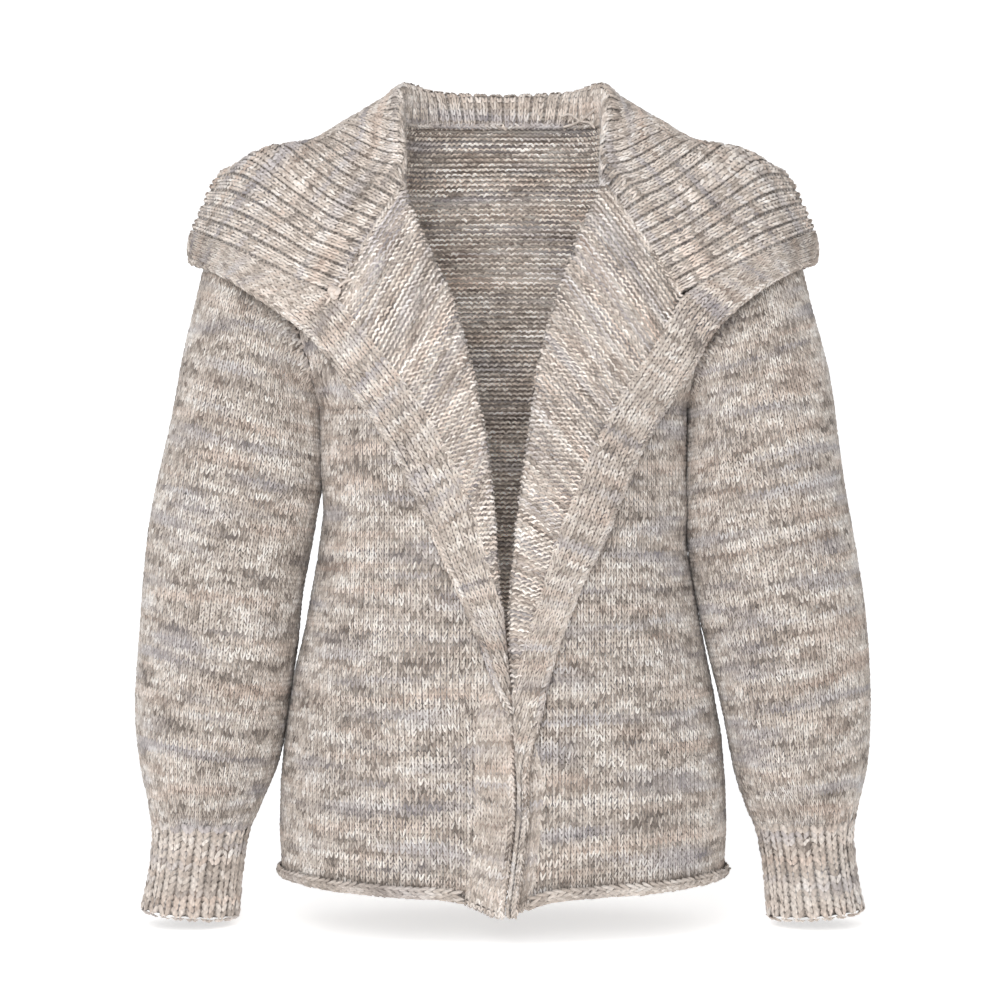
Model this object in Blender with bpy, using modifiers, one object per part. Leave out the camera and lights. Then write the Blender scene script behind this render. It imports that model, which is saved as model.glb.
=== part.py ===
"""Open-front knitted cardigan, as worn: back, fronts with turned lapels, edge bands, collar, sleeves, cuffs.

Metres, +Z up. The front of the body faces -Y and the wearer's left is +X. The origin is midway between the
two neck points, where the shoulders carry the garment. "out" is a distance from the centre plane towards the
side that a piece belongs to, so that one table serves both sides.
"""

import bmesh
import bpy
import numpy as np

WALL = 0.003  # knitted fabric
BAND_WALL = 0.0045  # the edge bands are knitted double
SEAM_GAP = 0.0005
SHOULDER_GAP = 0.0011
ARMHOLE_GAP = 0.0020
BAND_GAP = 0.0004  # on each side of the seam between a panel and its band
BAND_GAP_AT_FOLD = 0.0017  # more of it where the seam crosses the fold, within the reach below
BAND_GAP_REACH = 0.013
NECK_GAP = 0.0044  # between the neckline and the front's edge
NECK_GAP_AT_ROLL = 0.003  # more of it beside the top of the roll line, within the reach below
NECK_GAP_REACH = 0.015
NECK_EDGE = 0.002  # from the last column to the one before it, beside the neckline
FOLD_RADIUS = 0.0045  # centre line of the wall where a lapel or band turns back
QUARTER_TURN = FOLD_RADIUS * np.pi / 2  # path from the fold to where the layer lies flat
LAPEL_LIFT = 0.0065  # a turned layer above the one it lies on, away from the fold
LAPEL_SETTLE = 0.03  # how far from the fold it comes down to that lift
STEEPEST = 1.8  # most that a lift grows where the body slopes away from the front
HEM_ROLL = 0.0045  # radius of the curl along the hem
HEM_TURN = 4.2  # how far the curl turns, in radians
HEM_Z = -0.6345  # lowest line of the wall, behind
HEM_RISE = 0.1345  # height above the hem within which the rows take up its dips
FRONT_DIP = 0.004  # how much lower the fronts' hem is at the centre than at the side seams, FRONT_WIDE away
FRONT_WIDE = 0.19
CORNER_DIP = 0.013  # more of it at the front corners, within the reach below
CORNER_REACH = 0.026
LAPEL_MARGIN = 0.012  # least width of the panel beside its seam with the band
SLEEVE_LIFT = 0.006  # how much further the layers stand off where they cross the sleeve head
SLEEVE_HEAD = (0.13, 0.16)  # distances out between which that lift grows
COLLAR_ROLL = 0.006  # half the width of the roll at the top of the collar
# Share of the neck seam, from the notch to the centre back, and the gap there up to the collar's first edge.
STAND_LIFT = (
    (0.00, 0.0010),
    (0.28, 0.0012),
    (0.37, 0.0063),
    (0.39, 0.0063),
    (0.46, 0.0030),
    (1.00, 0.0028),
)

SEAM_Y = 0.005  # side and shoulder seams
NECK_OUT = 0.085
SHOULDER_OUT = 0.195
SHOULDER_DROP = 0.037
UNDERARM_Z = -0.245
BACK_NECK_Y = 0.062
BACK_NECK_RISE = 0.006
ARMHOLE_WIDE = 0.215  # half-width that the chest's section has grown to at the shoulder seam
CHEST_GROWTH = 2.5  # power by which it grows there from the underarm
SECTION_POWER = 2.3  # of the body's section: 2 is an ellipse, and more is squarer
SHOULDER_POWER = 0.7  # by which the body's depth runs out towards the shoulder seam
NAPE_POWER = 0.6  # by which the back's neckline curves round the nape

BODY_COLUMNS = 7  # of a front, between the side seam and the fold
LAPEL_COLUMNS = 8
BAND_COLUMNS = 7
RING_POINTS = 16
ARMHOLE_ROWS = 9
LAPEL_TOP_POINTS = 9
EASED_RINGS = 4  # rings over which the sleeve goes from the armhole's shape to an oval
TIP_SEAM_START = 0.025  # share of the tip's width by which its first column keeps clear of the collar

BEIGE = (0.62, 0.56, 0.50)

# Body at rising heights: height, half-width at the side seams, depth of the front and of the back.
BODY = (
    (-0.660, 0.1820, 0.114, 0.101),
    (-0.630, 0.1830, 0.115, 0.102),
    (-0.600, 0.1880, 0.119, 0.106),
    (-0.560, 0.1870, 0.119, 0.106),
    (-0.520, 0.1835, 0.118, 0.105),
    (-0.481, 0.1765, 0.117, 0.104),
    (-0.431, 0.1665, 0.116, 0.103),
    (-0.372, 0.1560, 0.115, 0.102),
    (-0.338, 0.1515, 0.114, 0.102),
    (-0.300, 0.1490, 0.114, 0.101),
    (-0.245, 0.1500, 0.113, 0.101),
    (-0.120, 0.1500, 0.112, 0.100),
    (0.010, 0.1500, 0.112, 0.098),
)
# Armhole: share of the height from underarm to shoulder seam, distance out.
ARMHOLE = (
    (0.00, 0.150),
    (0.12, 0.157),
    (0.25, 0.167),
    (0.40, 0.177),
    (0.60, 0.186),
    (0.80, 0.192),
    (1.00, 0.195),
)

# Front edge from the top of the roll line down to the hem. The fabric turns back at the fold; the lapel runs
# from there to the seam of the edge band, and falls by an angle in degrees, and then comes the band itself.
# Where the lapel is negative, the seam lies in the body, and the fold is in the band or at its free edge.
EDGE_COLUMNS = ("fold_out", "fold_z", "lapel", "lapel_fall", "band", "band_fall")
RIGHT_EDGE = (
    (0.0820, -0.064, 0.107, 58, 0.037, 47),
    (0.0630, -0.113, 0.092, 61, 0.038, 43),
    (0.0420, -0.158, 0.079, 61, 0.040, 40),
    (0.0270, -0.209, 0.062, 62, 0.040, 36),
    (0.0150, -0.268, 0.042, 62, 0.041, 38),
    (0.0080, -0.322, 0.026, 60, 0.037, 29),
    (0.0055, -0.369, 0.0105, 50, 0.0315, 20),
    (0.0022, -0.401, 0.003, 30, 0.0285, 10),
    (-0.0002, -0.434, -0.008, 0, 0.030, 0),
    (-0.0030, -0.472, -0.020, 0, 0.0315, 0),
    (-0.0046, -0.497, -0.028, 0, 0.030, 0),
    (-0.0074, -0.530, -0.033, 0, 0.030, 0),
    (-0.0074, -0.580, -0.033, 0, 0.030, 0),
    (0.0040, -0.655, -0.033, 0, 0.030, 0),
)
LEFT_EDGE = (
    (0.0820, -0.062, 0.113, 55, 0.040, 51),
    (0.0630, -0.106, 0.108, 54, 0.038, 30),
    (0.0430, -0.160, 0.092, 52, 0.039, 28),
    (0.0300, -0.209, 0.077, 49, 0.038, 28),
    (0.0240, -0.250, 0.065, 50, 0.038, 23),
    (0.0140, -0.322, 0.042, 39, 0.037, 22),
    (0.0090, -0.369, 0.031, 30, 0.030, 14),
    (0.0062, -0.401, 0.024, 18, 0.0285, 6),
    (0.0062, -0.434, 0.014, 8, 0.0275, 2),
    (0.0094, -0.472, 0.0025, 0, 0.026, 0),
    (0.0106, -0.497, -0.008, 0, 0.030, 0),
    (0.0134, -0.530, -0.020, 0, 0.030, 0),
    (0.0134, -0.575, -0.021, 0, 0.030, 0),
    (0.0020, -0.655, -0.021, 0, 0.030, 0),
)

# Sleeve rings from armhole to cuff. Columns: out and height of the inner point, out and height of the outer
# point, centre y, half-depth.
SLEEVE = (
    (0.1505, -0.2430, 0.1955, -0.037, 0.005, 0.050),
    (0.1550, -0.2400, 0.2150, -0.050, 0.002, 0.054),
    (0.1585, -0.2460, 0.2340, -0.076, 0.000, 0.058),
    (0.1590, -0.2620, 0.2485, -0.113, -0.002, 0.061),
    (0.1590, -0.2850, 0.2600, -0.160, -0.003, 0.063),
    (0.1590, -0.3200, 0.2735, -0.215, -0.004, 0.065),
    (0.1630, -0.3580, 0.2860, -0.285, -0.005, 0.067),
    (0.1690, -0.4000, 0.2960, -0.350, -0.006, 0.068),
    (0.1755, -0.4450, 0.3035, -0.420, -0.008, 0.068),
    (0.1850, -0.4950, 0.3075, -0.490, -0.010, 0.067),
    (0.1945, -0.5430, 0.3045, -0.540, -0.012, 0.062),
    (0.2060, -0.5760, 0.2975, -0.573, -0.014, 0.050),
    (0.2155, -0.5970, 0.2930, -0.595, -0.015, 0.036),
)
CUFF = (
    (0.2155, -0.5976, 0.2930, -0.5956, -0.015, 0.036),
    (0.2190, -0.6120, 0.2930, -0.6100, -0.015, 0.033),
    (0.2230, -0.6400, 0.2960, -0.6370, -0.016, 0.032),
    (0.2252, -0.6700, 0.3015, -0.6640, -0.016, 0.033),
)

# Collar ribs from the front end to the centre back. Columns: share of the neck seam where the rib starts,
# then (out, y, z) of the fold, of the crown of the fall and of the outer edge.
COLLAR = (
    (0.00, (0.168, -0.080, -0.141), (0.222, -0.062, -0.113), (0.262, -0.010, -0.093)),
    (0.17, (0.140, -0.063, -0.090), (0.200, -0.010, -0.028), (0.239, 0.026, -0.043)),
    (0.35, (0.0872, -0.052, -0.045), (0.160, 0.004, -0.011), (0.225, 0.064, -0.074)),
    (0.50, (0.087, -0.024, -0.008), (0.135, 0.020, 0.000), (0.201, 0.086, -0.098)),
    (0.65, (0.089, 0.013, 0.036), (0.122, 0.050, -0.002), (0.160, 0.100, -0.117)),
    (0.83, (0.058, 0.058, 0.036), (0.072, 0.088, -0.015), (0.090, 0.108, -0.130)),
    (1.00, (0.000, 0.070, 0.034), (0.000, 0.095, -0.018), (0.000, 0.116, -0.134)),
)
# Free edge of the band along the collar's front end, from the tip towards the notch: (out, y, z).
BAND_TIP = (
    (0.268, -0.008, -0.120),
    (0.241, -0.045, -0.131),
    (0.215, -0.069, -0.146),
    (0.190, -0.077, -0.163),
)


def table(rows, column, at):
    """One column of a table of rows that rise in their first column."""
    rows = np.array(rows)
    return np.interp(at, rows[:, 0], rows[:, column])


def through(points, count):
    """A smooth curve through the points: count points evenly spaced along it, or one at each share of it."""
    points = np.asarray(points, float)
    shares = np.linspace(0, 1, count) if np.ndim(count) == 0 else np.asarray(count)
    before = 2 * points[0] - points[1]
    after = 2 * points[-1] - points[-2]
    held = np.vstack([before, points, after])
    step = np.linspace(0, 1, 17)[:-1, None]
    fine = []
    for a, b, c, d in zip(held[:-3], held[1:-2], held[2:-1], held[3:]):
        cubic = -a + 3 * b - 3 * c + d
        square = 2 * a - 5 * b + 4 * c - d
        fine.append(0.5 * (2 * b + (c - a) * step + square * step**2 + cubic * step**3))
    fine = np.vstack(fine + [points[-1:]])
    run = np.concatenate([[0], np.cumsum(np.linalg.norm(np.diff(fine[:, :3], axis=0), axis=1))])
    return np.stack([np.interp(shares * run[-1], run, fine[:, k]) for k in range(fine.shape[1])], 1)


def top_z(face, out):
    """Height of the shoulder seam, and of the neckline between the neck points."""
    slope = -SHOULDER_DROP * np.clip(np.abs(out) - NECK_OUT, 0, None) / (SHOULDER_OUT - NECK_OUT)
    neck = BACK_NECK_RISE * np.clip(1 - (out / NECK_OUT) ** 2, 0, 1) if face > 0 else 0
    return slope + neck


def armhole_share(z):
    """How far a height is up the armhole: 0 at the underarm and below it, 1 at the shoulder seam."""
    return np.clip((z - UNDERARM_Z) / -UNDERARM_Z, 0, 1)


def chest_width(h):
    return BODY[-1][1] + (ARMHOLE_WIDE - BODY[-1][1]) * (1 - (1 - h) ** CHEST_GROWTH)


def body_y(face, out, z):
    """Where the worn body's wall lies at a distance out and a height. face is -1 in front and 1 behind."""
    out = np.abs(out)
    h = np.clip((z - UNDERARM_Z) / (top_z(face, out) - UNDERARM_Z), 0, 1)
    width = np.where(h > 0, chest_width(h), table(BODY, 1, z))
    depth = table(BODY, 2 if face < 0 else 3, z) * (1 - h**2) ** SHOULDER_POWER
    round_off = np.sqrt(1 - np.clip(out / width, 0, 1) ** SECTION_POWER)
    nape = 0
    if face > 0:
        nape = (BACK_NECK_Y - SEAM_Y) * np.clip(1 - (out / NECK_OUT) ** 2, 0, 1) ** NAPE_POWER * h**2
    return SEAM_Y + nape + face * np.maximum(depth * round_off, SEAM_GAP / 2)


def hem_z(face, out):
    """Lowest line of the wall: level behind, dipping towards the front corners."""
    if face > 0:
        return HEM_Z
    return HEM_Z - (FRONT_DIP * (1 - out / FRONT_WIDE) + CORNER_DIP * np.exp(-((out / CORNER_REACH) ** 2)))


def row_at(face, out, z_centre):
    """Height of a knitted row at a distance out: level up to the underarm, then fanned to the shoulder."""
    h = armhole_share(z_centre)
    above = UNDERARM_Z + h * (top_z(face, out) - UNDERARM_Z)
    low = np.clip((HEM_Z + HEM_RISE - z_centre) / HEM_RISE, 0, 1)
    return np.where(h > 0, above, z_centre + low * (hem_z(face, out) - HEM_Z))


def side_out(z_centre):
    """Distance out of the side seam, and of the armhole above it."""
    h = armhole_share(z_centre)
    return np.where(h > 0, table(ARMHOLE, 1, h), table(BODY, 1, z_centre))


def wide_at(z_centre):
    """Half-width of the body's section."""
    h = armhole_share(z_centre)
    return np.where(h > 0, chest_width(h), table(BODY, 1, z_centre))


def across(face, z_centre, inner, shares):
    """Points of one row from the side (share 0) to a distance out (share 1), closer where the body turns."""
    wide = wide_at(z_centre)
    start = np.arcsin(np.clip(side_out(z_centre) / wide, -1, 1))
    end = np.arcsin(inner / wide)
    out = wide * np.sin(start + (end - start) * np.asarray(shares))
    z = row_at(face, out, z_centre)
    return np.stack([out, body_y(face, out, z), z], 1)


def edge_at(rows, z_fold):
    """The front edge's values on the row whose fold lies at this height."""
    fine = through(rows, 120)[::-1]
    edge = {name: np.interp(z_fold, fine[:, 1], fine[:, k]) for k, name in enumerate(EDGE_COLUMNS)}
    for layer in ("lapel", "band"):
        fall = np.radians(edge[layer + "_fall"])
        edge[layer + "_way"] = np.array([np.cos(fall), -np.sin(fall)])
    return edge


def away_from_fold(t):
    """How far out from the fold a row is after a path t round it."""
    if abs(t) < QUARTER_TURN:
        return FOLD_RADIUS * (1 - np.cos(t / FOLD_RADIUS))
    return abs(t) - QUARTER_TURN + FOLD_RADIUS


def turned_point(edge, t):
    """A point on a row's path across the front edge: t is 0 at the fold, negative on the body and positive
    on the layer turned back over it."""
    away = away_from_fold(t)
    lift = 0.0
    if abs(t) < QUARTER_TURN:
        lift = FOLD_RADIUS * (1 + np.sin(t / FOLD_RADIUS))
    elif t > 0:
        lift = LAPEL_LIFT + (2 * FOLD_RADIUS - LAPEL_LIFT) * np.exp(-(away - FOLD_RADIUS) / LAPEL_SETTLE)
    if t <= 0:
        out = edge["fold_out"] + away
        z = row_at(-1, out, edge["fold_z"])
    else:
        on_lapel = min(away, away_from_fold(edge["lapel"])) if edge["lapel"] > 0 else 0
        move = on_lapel * edge["lapel_way"] + (away - on_lapel) * edge["band_way"]
        out = edge["fold_out"] + move[0]
        z = row_at(-1, edge["fold_out"], edge["fold_z"]) + move[1]
    step = 0.002
    across_slope = (body_y(-1, out + step, z) - body_y(-1, out - step, z)) / (2 * step)
    up_slope = (body_y(-1, out, z + step) - body_y(-1, out, z - step)) / (2 * step)
    lift *= min(STEEPEST, np.sqrt(1 + across_slope**2 + up_slope**2))
    if t > 0:
        lift += SLEEVE_LIFT * np.interp(out, SLEEVE_HEAD, (0, 1))
    return np.array([out, body_y(-1, out, z) - lift, z])


def round_fold(start, end, count):
    """Places along a row from start to end, measured from the fold, closer together where it turns."""
    closest = 0.0032
    widest = 0.016
    t = np.linspace(start, end, 300)
    spacing = np.clip(closest + 0.4 * (np.abs(t) - QUARTER_TURN), closest, widest)
    run = np.cumsum(1 / spacing)
    return np.interp(np.linspace(run[0], run[-1], count), run, t)


def band_gap(lapel):
    return BAND_GAP + BAND_GAP_AT_FOLD * np.exp(-((lapel / BAND_GAP_REACH) ** 2))


def armhole_rows():
    """Heights from the underarm up to the shoulder, closer together at both ends."""
    return UNDERARM_Z * (1 + np.cos(np.linspace(0, np.pi, ARMHOLE_ROWS))) / 2


def front_rows(rows):
    """Heights at the fold of the front's rows, up to the roll line's top, and then on to the neck point."""
    top = rows[0][1]
    armhole = armhole_rows()
    skirt = np.linspace(HEM_Z, -0.540, 4)
    turning = np.linspace(-0.520, -0.360, 9)
    chest = np.linspace(-0.325, -0.275, 3)
    below = np.concatenate([skirt, turning, chest, armhole[armhole < top - 0.005], [top]])
    return below, np.concatenate([[top + 0.007], armhole[armhole > top + 0.015]])


def front_panel(rows):
    """Body and lapel of one front, as two grids that share the column along the fold."""
    below, above = front_rows(rows)
    shares = np.linspace(0, 1, BODY_COLUMNS)
    body = []
    lapel = []
    for z in below:
        edge = edge_at(rows, z)
        turn = min(0.0, edge["lapel"] - LAPEL_MARGIN)
        inner = edge["fold_out"] + away_from_fold(turn - QUARTER_TURN)
        row = across(-1, z, inner, shares)
        body.append(np.vstack([row, turned_point(edge, turn - QUARTER_TURN / 2), turned_point(edge, turn)]))
        steps = round_fold(turn, edge["lapel"] - band_gap(edge["lapel"]), LAPEL_COLUMNS)
        lapel.append([turned_point(edge, t) for t in steps])
    for z in above:
        inner = np.interp(z, [rows[0][1], 0], [rows[0][0], NECK_OUT]) + NECK_GAP
        inner += NECK_GAP_AT_ROLL * np.exp((rows[0][1] - z) / NECK_GAP_REACH)
        row = across(-1, z, inner + FOLD_RADIUS, shares)
        tail = []
        for out in (inner + NECK_EDGE, inner):
            height = row_at(-1, out, z)
            tail.append([out, body_y(-1, out, height), height])
        body.append(np.vstack([row, tail]))
    return np.array(body), np.array(lapel)


def hem_curl(row, count=4):
    """Rows that carry a panel's lowest row on into its outward curl, from the curl's end to the row."""
    ahead = np.gradient(row[:, :2], axis=0)
    outward = np.stack([ahead[:, 1], -ahead[:, 0]], 1)
    outward /= np.linalg.norm(outward, axis=1)[:, None]
    outward *= np.sign((outward * (row[:, :2] - [0, SEAM_Y])).sum(1))[:, None]
    curl = []
    for angle in np.linspace(HEM_TURN, 0, count, endpoint=False):
        move = outward * HEM_ROLL * (1 - np.cos(angle))
        drop = np.full((len(row), 1), -HEM_ROLL * np.sin(angle))
        curl.append(row + np.hstack([move, drop]))
    return np.array(curl)


def back_panel():
    """The back as one grid, from side to side, with a column at each neck point."""
    neck = np.arcsin(NECK_OUT / ARMHOLE_WIDE) / np.arcsin(SHOULDER_OUT / ARMHOLE_WIDE)
    half = np.concatenate([np.linspace(0, neck, 4)[1:], np.linspace(neck, 1, 5)[1:]])
    shares = np.concatenate([-half[::-1], [0], half])
    rows = []
    for z in np.concatenate([np.linspace(HEM_Z, UNDERARM_Z, 9), armhole_rows()[1:]]):
        wide = wide_at(z)
        out = wide * np.sin(shares * np.arcsin(np.clip(side_out(z) / wide, -1, 1)))
        height = row_at(1, out, z)
        rows.append(np.stack([out, body_y(1, out, height), height], 1))
    return np.array(rows)


def armhole_loop(count):
    """Points round the armhole seam from the underarm up the front, over the shoulder and down the back."""
    turn = np.linspace(0, 2 * np.pi, count, endpoint=False)
    points = []
    for angle in turn:
        h = (1 - np.cos(angle)) / 2
        face = -1 if angle < np.pi else 1
        z_row = UNDERARM_Z * (1 - h)
        out = side_out(z_row)
        z = row_at(face, out, z_row)
        points.append([out, body_y(face, out, z), z])
    return np.array(points)


def ring(row, count):
    """An oval ring between a sleeve section's inner and outer point."""
    in_out, in_z, out_out, out_z, middle_y, half_depth = row
    turn = np.linspace(0, 2 * np.pi, count, endpoint=False)
    share = (1 - np.cos(turn)) / 2
    y = middle_y - half_depth * np.sin(turn)
    return np.stack([in_out + (out_out - in_out) * share, y, in_z + (out_z - in_z) * share], 1)


def sleeve_rings():
    """The sleeve's rings. The first follows the armhole seam, and the next ones ease it into an oval. It is
    moved outwards and towards the middle of the armhole, which leaves the gap at the seam."""
    difference = armhole_loop(RING_POINTS) - ring(SLEEVE[0], RING_POINTS)
    rings = []
    for k, row in enumerate(SLEEVE):
        rings.append(ring(row, RING_POINTS) + difference * max(0, 1 - k / EASED_RINGS))
    rings = np.array(rings)
    into = rings[0] * [0, 1, 1] - [0, SEAM_Y, (UNDERARM_Z - SHOULDER_DROP) / 2]
    into /= -np.linalg.norm(into, axis=1)[:, None]
    rings[0] += ARMHOLE_GAP * (0.75 * np.array([1, 0, 0]) + 0.66 * into)
    return rings


def neck_seam(rows):
    """The seam that the collar is sewn to: notch, top of the lapel, neckline and centre back."""
    edge = edge_at(rows, rows[0][1])
    lapel = [turned_point(edge, t) for t in np.linspace(edge["lapel"], 0, LAPEL_TOP_POINTS)]
    side = []
    for z in np.linspace(rows[0][1], 0, 7)[1:]:
        out = np.interp(z, [rows[0][1], 0], [rows[0][0], NECK_OUT])
        side.append([out, body_y(-1, out, z), z])
    nape = []
    for out in NECK_OUT * np.cos(np.linspace(0, np.pi / 2, 9)[1:]):
        nape.append([out, body_y(1, out, top_z(1, out)), top_z(1, out)])
    return np.array(lapel + side + nape)


def collar_half(rows):
    """Half of the collar: a row for each rib line, from the neck seam to the outer edge. One row starts at
    the top of the roll line, where the seam turns from the lapel into the neckline."""
    seam = neck_seam(rows)
    run = np.cumsum(np.linalg.norm(np.diff(seam, axis=0), axis=1))
    corner = run[LAPEL_TOP_POINTS - 2] / run[-1]
    flat = np.array([[share, *fold, *crown, *edge] for share, fold, crown, edge in COLLAR])
    fine = through(np.hstack([flat[:, 7:10], flat]), 200)[:, 3:]
    shares = np.concatenate([np.linspace(0, corner, 8), np.linspace(corner, 1, 11)[1:]])
    grid = []
    for share in shares:
        values = np.array([np.interp(share, fine[:, 0], fine[:, k]) for k in range(10)])
        start = through(seam, [share])[0]
        fold, crown, outer = values[1:4], values[4:7], values[7:10]
        rise = (fold - start) / np.linalg.norm(fold - start)
        fall = (crown - fold) / np.linalg.norm(crown - fold)
        along = (rise + fall) / np.linalg.norm(rise + fall) * COLLAR_ROLL
        under = (rise - fall) / 2 * COLLAR_ROLL
        near, far = fold - along - under, fold + along - under
        lift = table(STAND_LIFT, 1, share)
        grid.append(np.vstack([
            through([start + rise * lift, near], 3)[:-1],
            [near, fold, far],
            through([far, crown, outer], 5)[1:],
        ]))
    return np.array(grid)


def band_strip(rows, collar):
    """Edge band from the collar's tip to the hem: a row of points from the seam to the free edge."""
    strip = []
    tip_seam = collar[0][::-1][: len(collar[0]) - 1 : 2]
    tip_edge = through(BAND_TIP, len(tip_seam))
    for a, b in zip(tip_seam, tip_edge):
        strip.append(a + (b - a) * np.linspace(TIP_SEAM_START, 1, BAND_COLUMNS)[:, None])
    for z in front_rows(rows)[0][::-1]:
        edge = edge_at(rows, z)
        start = edge["lapel"] + band_gap(edge["lapel"])
        steps = round_fold(start, edge["lapel"] + edge["band"], BAND_COLUMNS)
        strip.append([turned_point(edge, t) for t in steps])
    strip.append(strip[-1] - np.array([0, 0, HEM_ROLL + WALL / 2]))
    return np.array(strip)


def pulled(grid, first=0, last=0, left=0, right=0):
    """The grid with its borders drawn in by these distances, which leaves the gaps at the seams."""
    grid = grid.copy()

    def draw(edge, inner, distance):
        way = inner - edge
        return edge + way / np.linalg.norm(way, axis=1)[:, None] * distance

    if first:
        grid[0] = draw(grid[0], grid[1], first)
    if last:
        grid[-1] = draw(grid[-1], grid[-2], last)
    if left:
        grid[:, 0] = draw(grid[:, 0], grid[:, 1], left)
    if right:
        grid[:, -1] = draw(grid[:, -1], grid[:, -2], right)
    return grid


def mirrored(points, side):
    return points * [side, 1, 1]


def cloth(name, grids, wall, closed=False, even=True):
    """A wall of cloth on one or more grids, whose shared points are merged. They are the wall's middle."""
    points = []
    faces = []
    for grid in grids:
        rows, columns = grid.shape[:2]
        base = len(points)
        points.extend(grid.reshape(-1, 3).tolist())
        for j in range(rows - 1):
            for i in range(columns if closed else columns - 1):
                k = (i + 1) % columns
                low = base + j * columns
                high = low + columns
                faces.append([low + i, low + k, high + k, high + i])
    mesh = bpy.data.meshes.new(name)
    mesh.from_pydata(points, [], faces)
    shape = bmesh.new()
    shape.from_mesh(mesh)
    bmesh.ops.remove_doubles(shape, verts=shape.verts, dist=0.00005)
    bmesh.ops.recalc_face_normals(shape, faces=shape.faces)
    shape.to_mesh(mesh)
    shape.free()
    mesh.shade_smooth()
    piece = bpy.data.objects.new(name, mesh)
    parts.objects.link(piece)
    thickness = piece.modifiers.new("Wall", "SOLIDIFY")
    thickness.thickness = wall
    thickness.offset = 0
    thickness.use_even_offset = even
    finish = bpy.data.materials.new(name + " knit")
    finish.use_nodes = True
    shader = finish.node_tree.nodes["Principled BSDF"]
    shader.inputs["Base Color"].default_value = (*BEIGE, 1)
    shader.inputs["Roughness"].default_value = 0.95
    shader.inputs["Metallic"].default_value = 0
    mesh.materials.append(finish)
    return piece


def main():
    for thing in list(bpy.data.objects):
        bpy.data.objects.remove(thing)
    bpy.context.scene.collection.children.link(parts)

    back = back_panel()
    back = np.vstack([hem_curl(back[0]), back])
    cloth("back", [pulled(back, last=SHOULDER_GAP, left=SEAM_GAP, right=SEAM_GAP)], WALL)

    halves = {}
    for name, side, rows in (("right", -1, RIGHT_EDGE), ("left", 1, LEFT_EDGE)):
        body, lapel = front_panel(rows)
        curl = hem_curl(body[0])
        body = pulled(np.vstack([curl, body]), last=SHOULDER_GAP, left=SEAM_GAP)
        lapel = pulled(lapel, last=SEAM_GAP)
        lapel[:, 0] = body[len(curl) : len(curl) + len(lapel), -1]
        lapel = np.vstack([hem_curl(lapel[0]), lapel])
        lapel[: len(curl), 0] = body[: len(curl), -1]
        cloth("front_" + name, [mirrored(body, side), mirrored(lapel, side)], WALL)

        half = collar_half(rows)
        halves[name] = mirrored(half, side)
        cloth("band_" + name, [mirrored(band_strip(rows, half), side)], BAND_WALL)

        cloth("sleeve_" + name, [mirrored(sleeve_rings(), side)], WALL, closed=True)
        cuff = np.array([ring(row, RING_POINTS) for row in CUFF])
        cloth("cuff_" + name, [mirrored(cuff, side)], WALL, closed=True)

    collar = np.vstack([halves["right"], halves["left"][::-1][1:]])
    cloth("collar", [pulled(collar, first=SEAM_GAP, last=SEAM_GAP)], WALL, even=False)


parts = bpy.data.collections.new("Shawl collar cardigan")
main()
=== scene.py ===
import math

import bpy
import numpy as np
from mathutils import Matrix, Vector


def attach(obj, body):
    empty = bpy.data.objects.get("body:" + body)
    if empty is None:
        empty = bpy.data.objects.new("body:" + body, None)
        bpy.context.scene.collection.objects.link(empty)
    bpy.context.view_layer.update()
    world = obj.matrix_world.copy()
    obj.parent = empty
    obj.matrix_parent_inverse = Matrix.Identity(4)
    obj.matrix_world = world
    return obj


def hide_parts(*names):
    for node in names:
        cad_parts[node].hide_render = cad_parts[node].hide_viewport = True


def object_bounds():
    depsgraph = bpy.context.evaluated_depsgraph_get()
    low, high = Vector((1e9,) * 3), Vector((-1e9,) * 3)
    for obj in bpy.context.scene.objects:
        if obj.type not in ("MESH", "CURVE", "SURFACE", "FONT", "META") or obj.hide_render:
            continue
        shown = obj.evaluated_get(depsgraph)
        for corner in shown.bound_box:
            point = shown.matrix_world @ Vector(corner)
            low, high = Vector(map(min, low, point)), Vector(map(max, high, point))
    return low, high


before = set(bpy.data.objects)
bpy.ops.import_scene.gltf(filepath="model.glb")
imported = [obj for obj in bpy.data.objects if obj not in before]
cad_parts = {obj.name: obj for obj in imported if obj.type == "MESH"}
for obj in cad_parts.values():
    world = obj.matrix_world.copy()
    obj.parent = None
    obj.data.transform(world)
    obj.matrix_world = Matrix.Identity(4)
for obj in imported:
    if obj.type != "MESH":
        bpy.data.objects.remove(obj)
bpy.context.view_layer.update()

# the garment's own sizes, the same as its solids'
form = {
    "foldRadius": 0.0045,  # where a lapel turns back
    "lapelLift": 0.0065,  # a turned layer above the one it lies on
    "liftFade": 0.03,
    "liftMost": 1.8,  # where the body slopes away
    "hemRoll": 0.0039,
    "hemTurn": 4.2,
    "hemTight": 0.45,  # how much smaller the roll is at the sides
    "sleeveLift": 0.006,  # how much higher a lapel lies over the sleeve,
    "sleeveFrom": 0.13,  # from this far out
    "sleeveOver": 0.03,
    "collarRoll": 0.006,
    "seamY": 0.005,
    "neckOut": 0.085,
    "shoulderOut": 0.195,
    "shoulderDrop": 0.037,
    "underarmZ": -0.245,
    "backNeckY": 0.062,
    "backNeckRise": 0.006,
    "armholeWide": 0.215,
    "hemZ": -0.6345,
    "armholeGap": 0.0010,
    "armholeRings": 4,  # rings over which a sleeve is fitted to its armhole
    "chestPower": 2.5,  # how squarely the chest, the body's depth, its plan and the nape are rounded
    "depthPower": 0.7,
    "planPower": 2.3,
    "napePower": 0.6,
    "hemDip": 0.004,  # the front hem's fall to the middle, and under the bands
    "hemHalf": 0.19,
    "bandDip": 0.013,
    "bandDipWide": 0.026,
    "dipFrom": 0.50,  # below the origin, where the rows start to follow the hem
    "dipOver": 0.1345,
}
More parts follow.
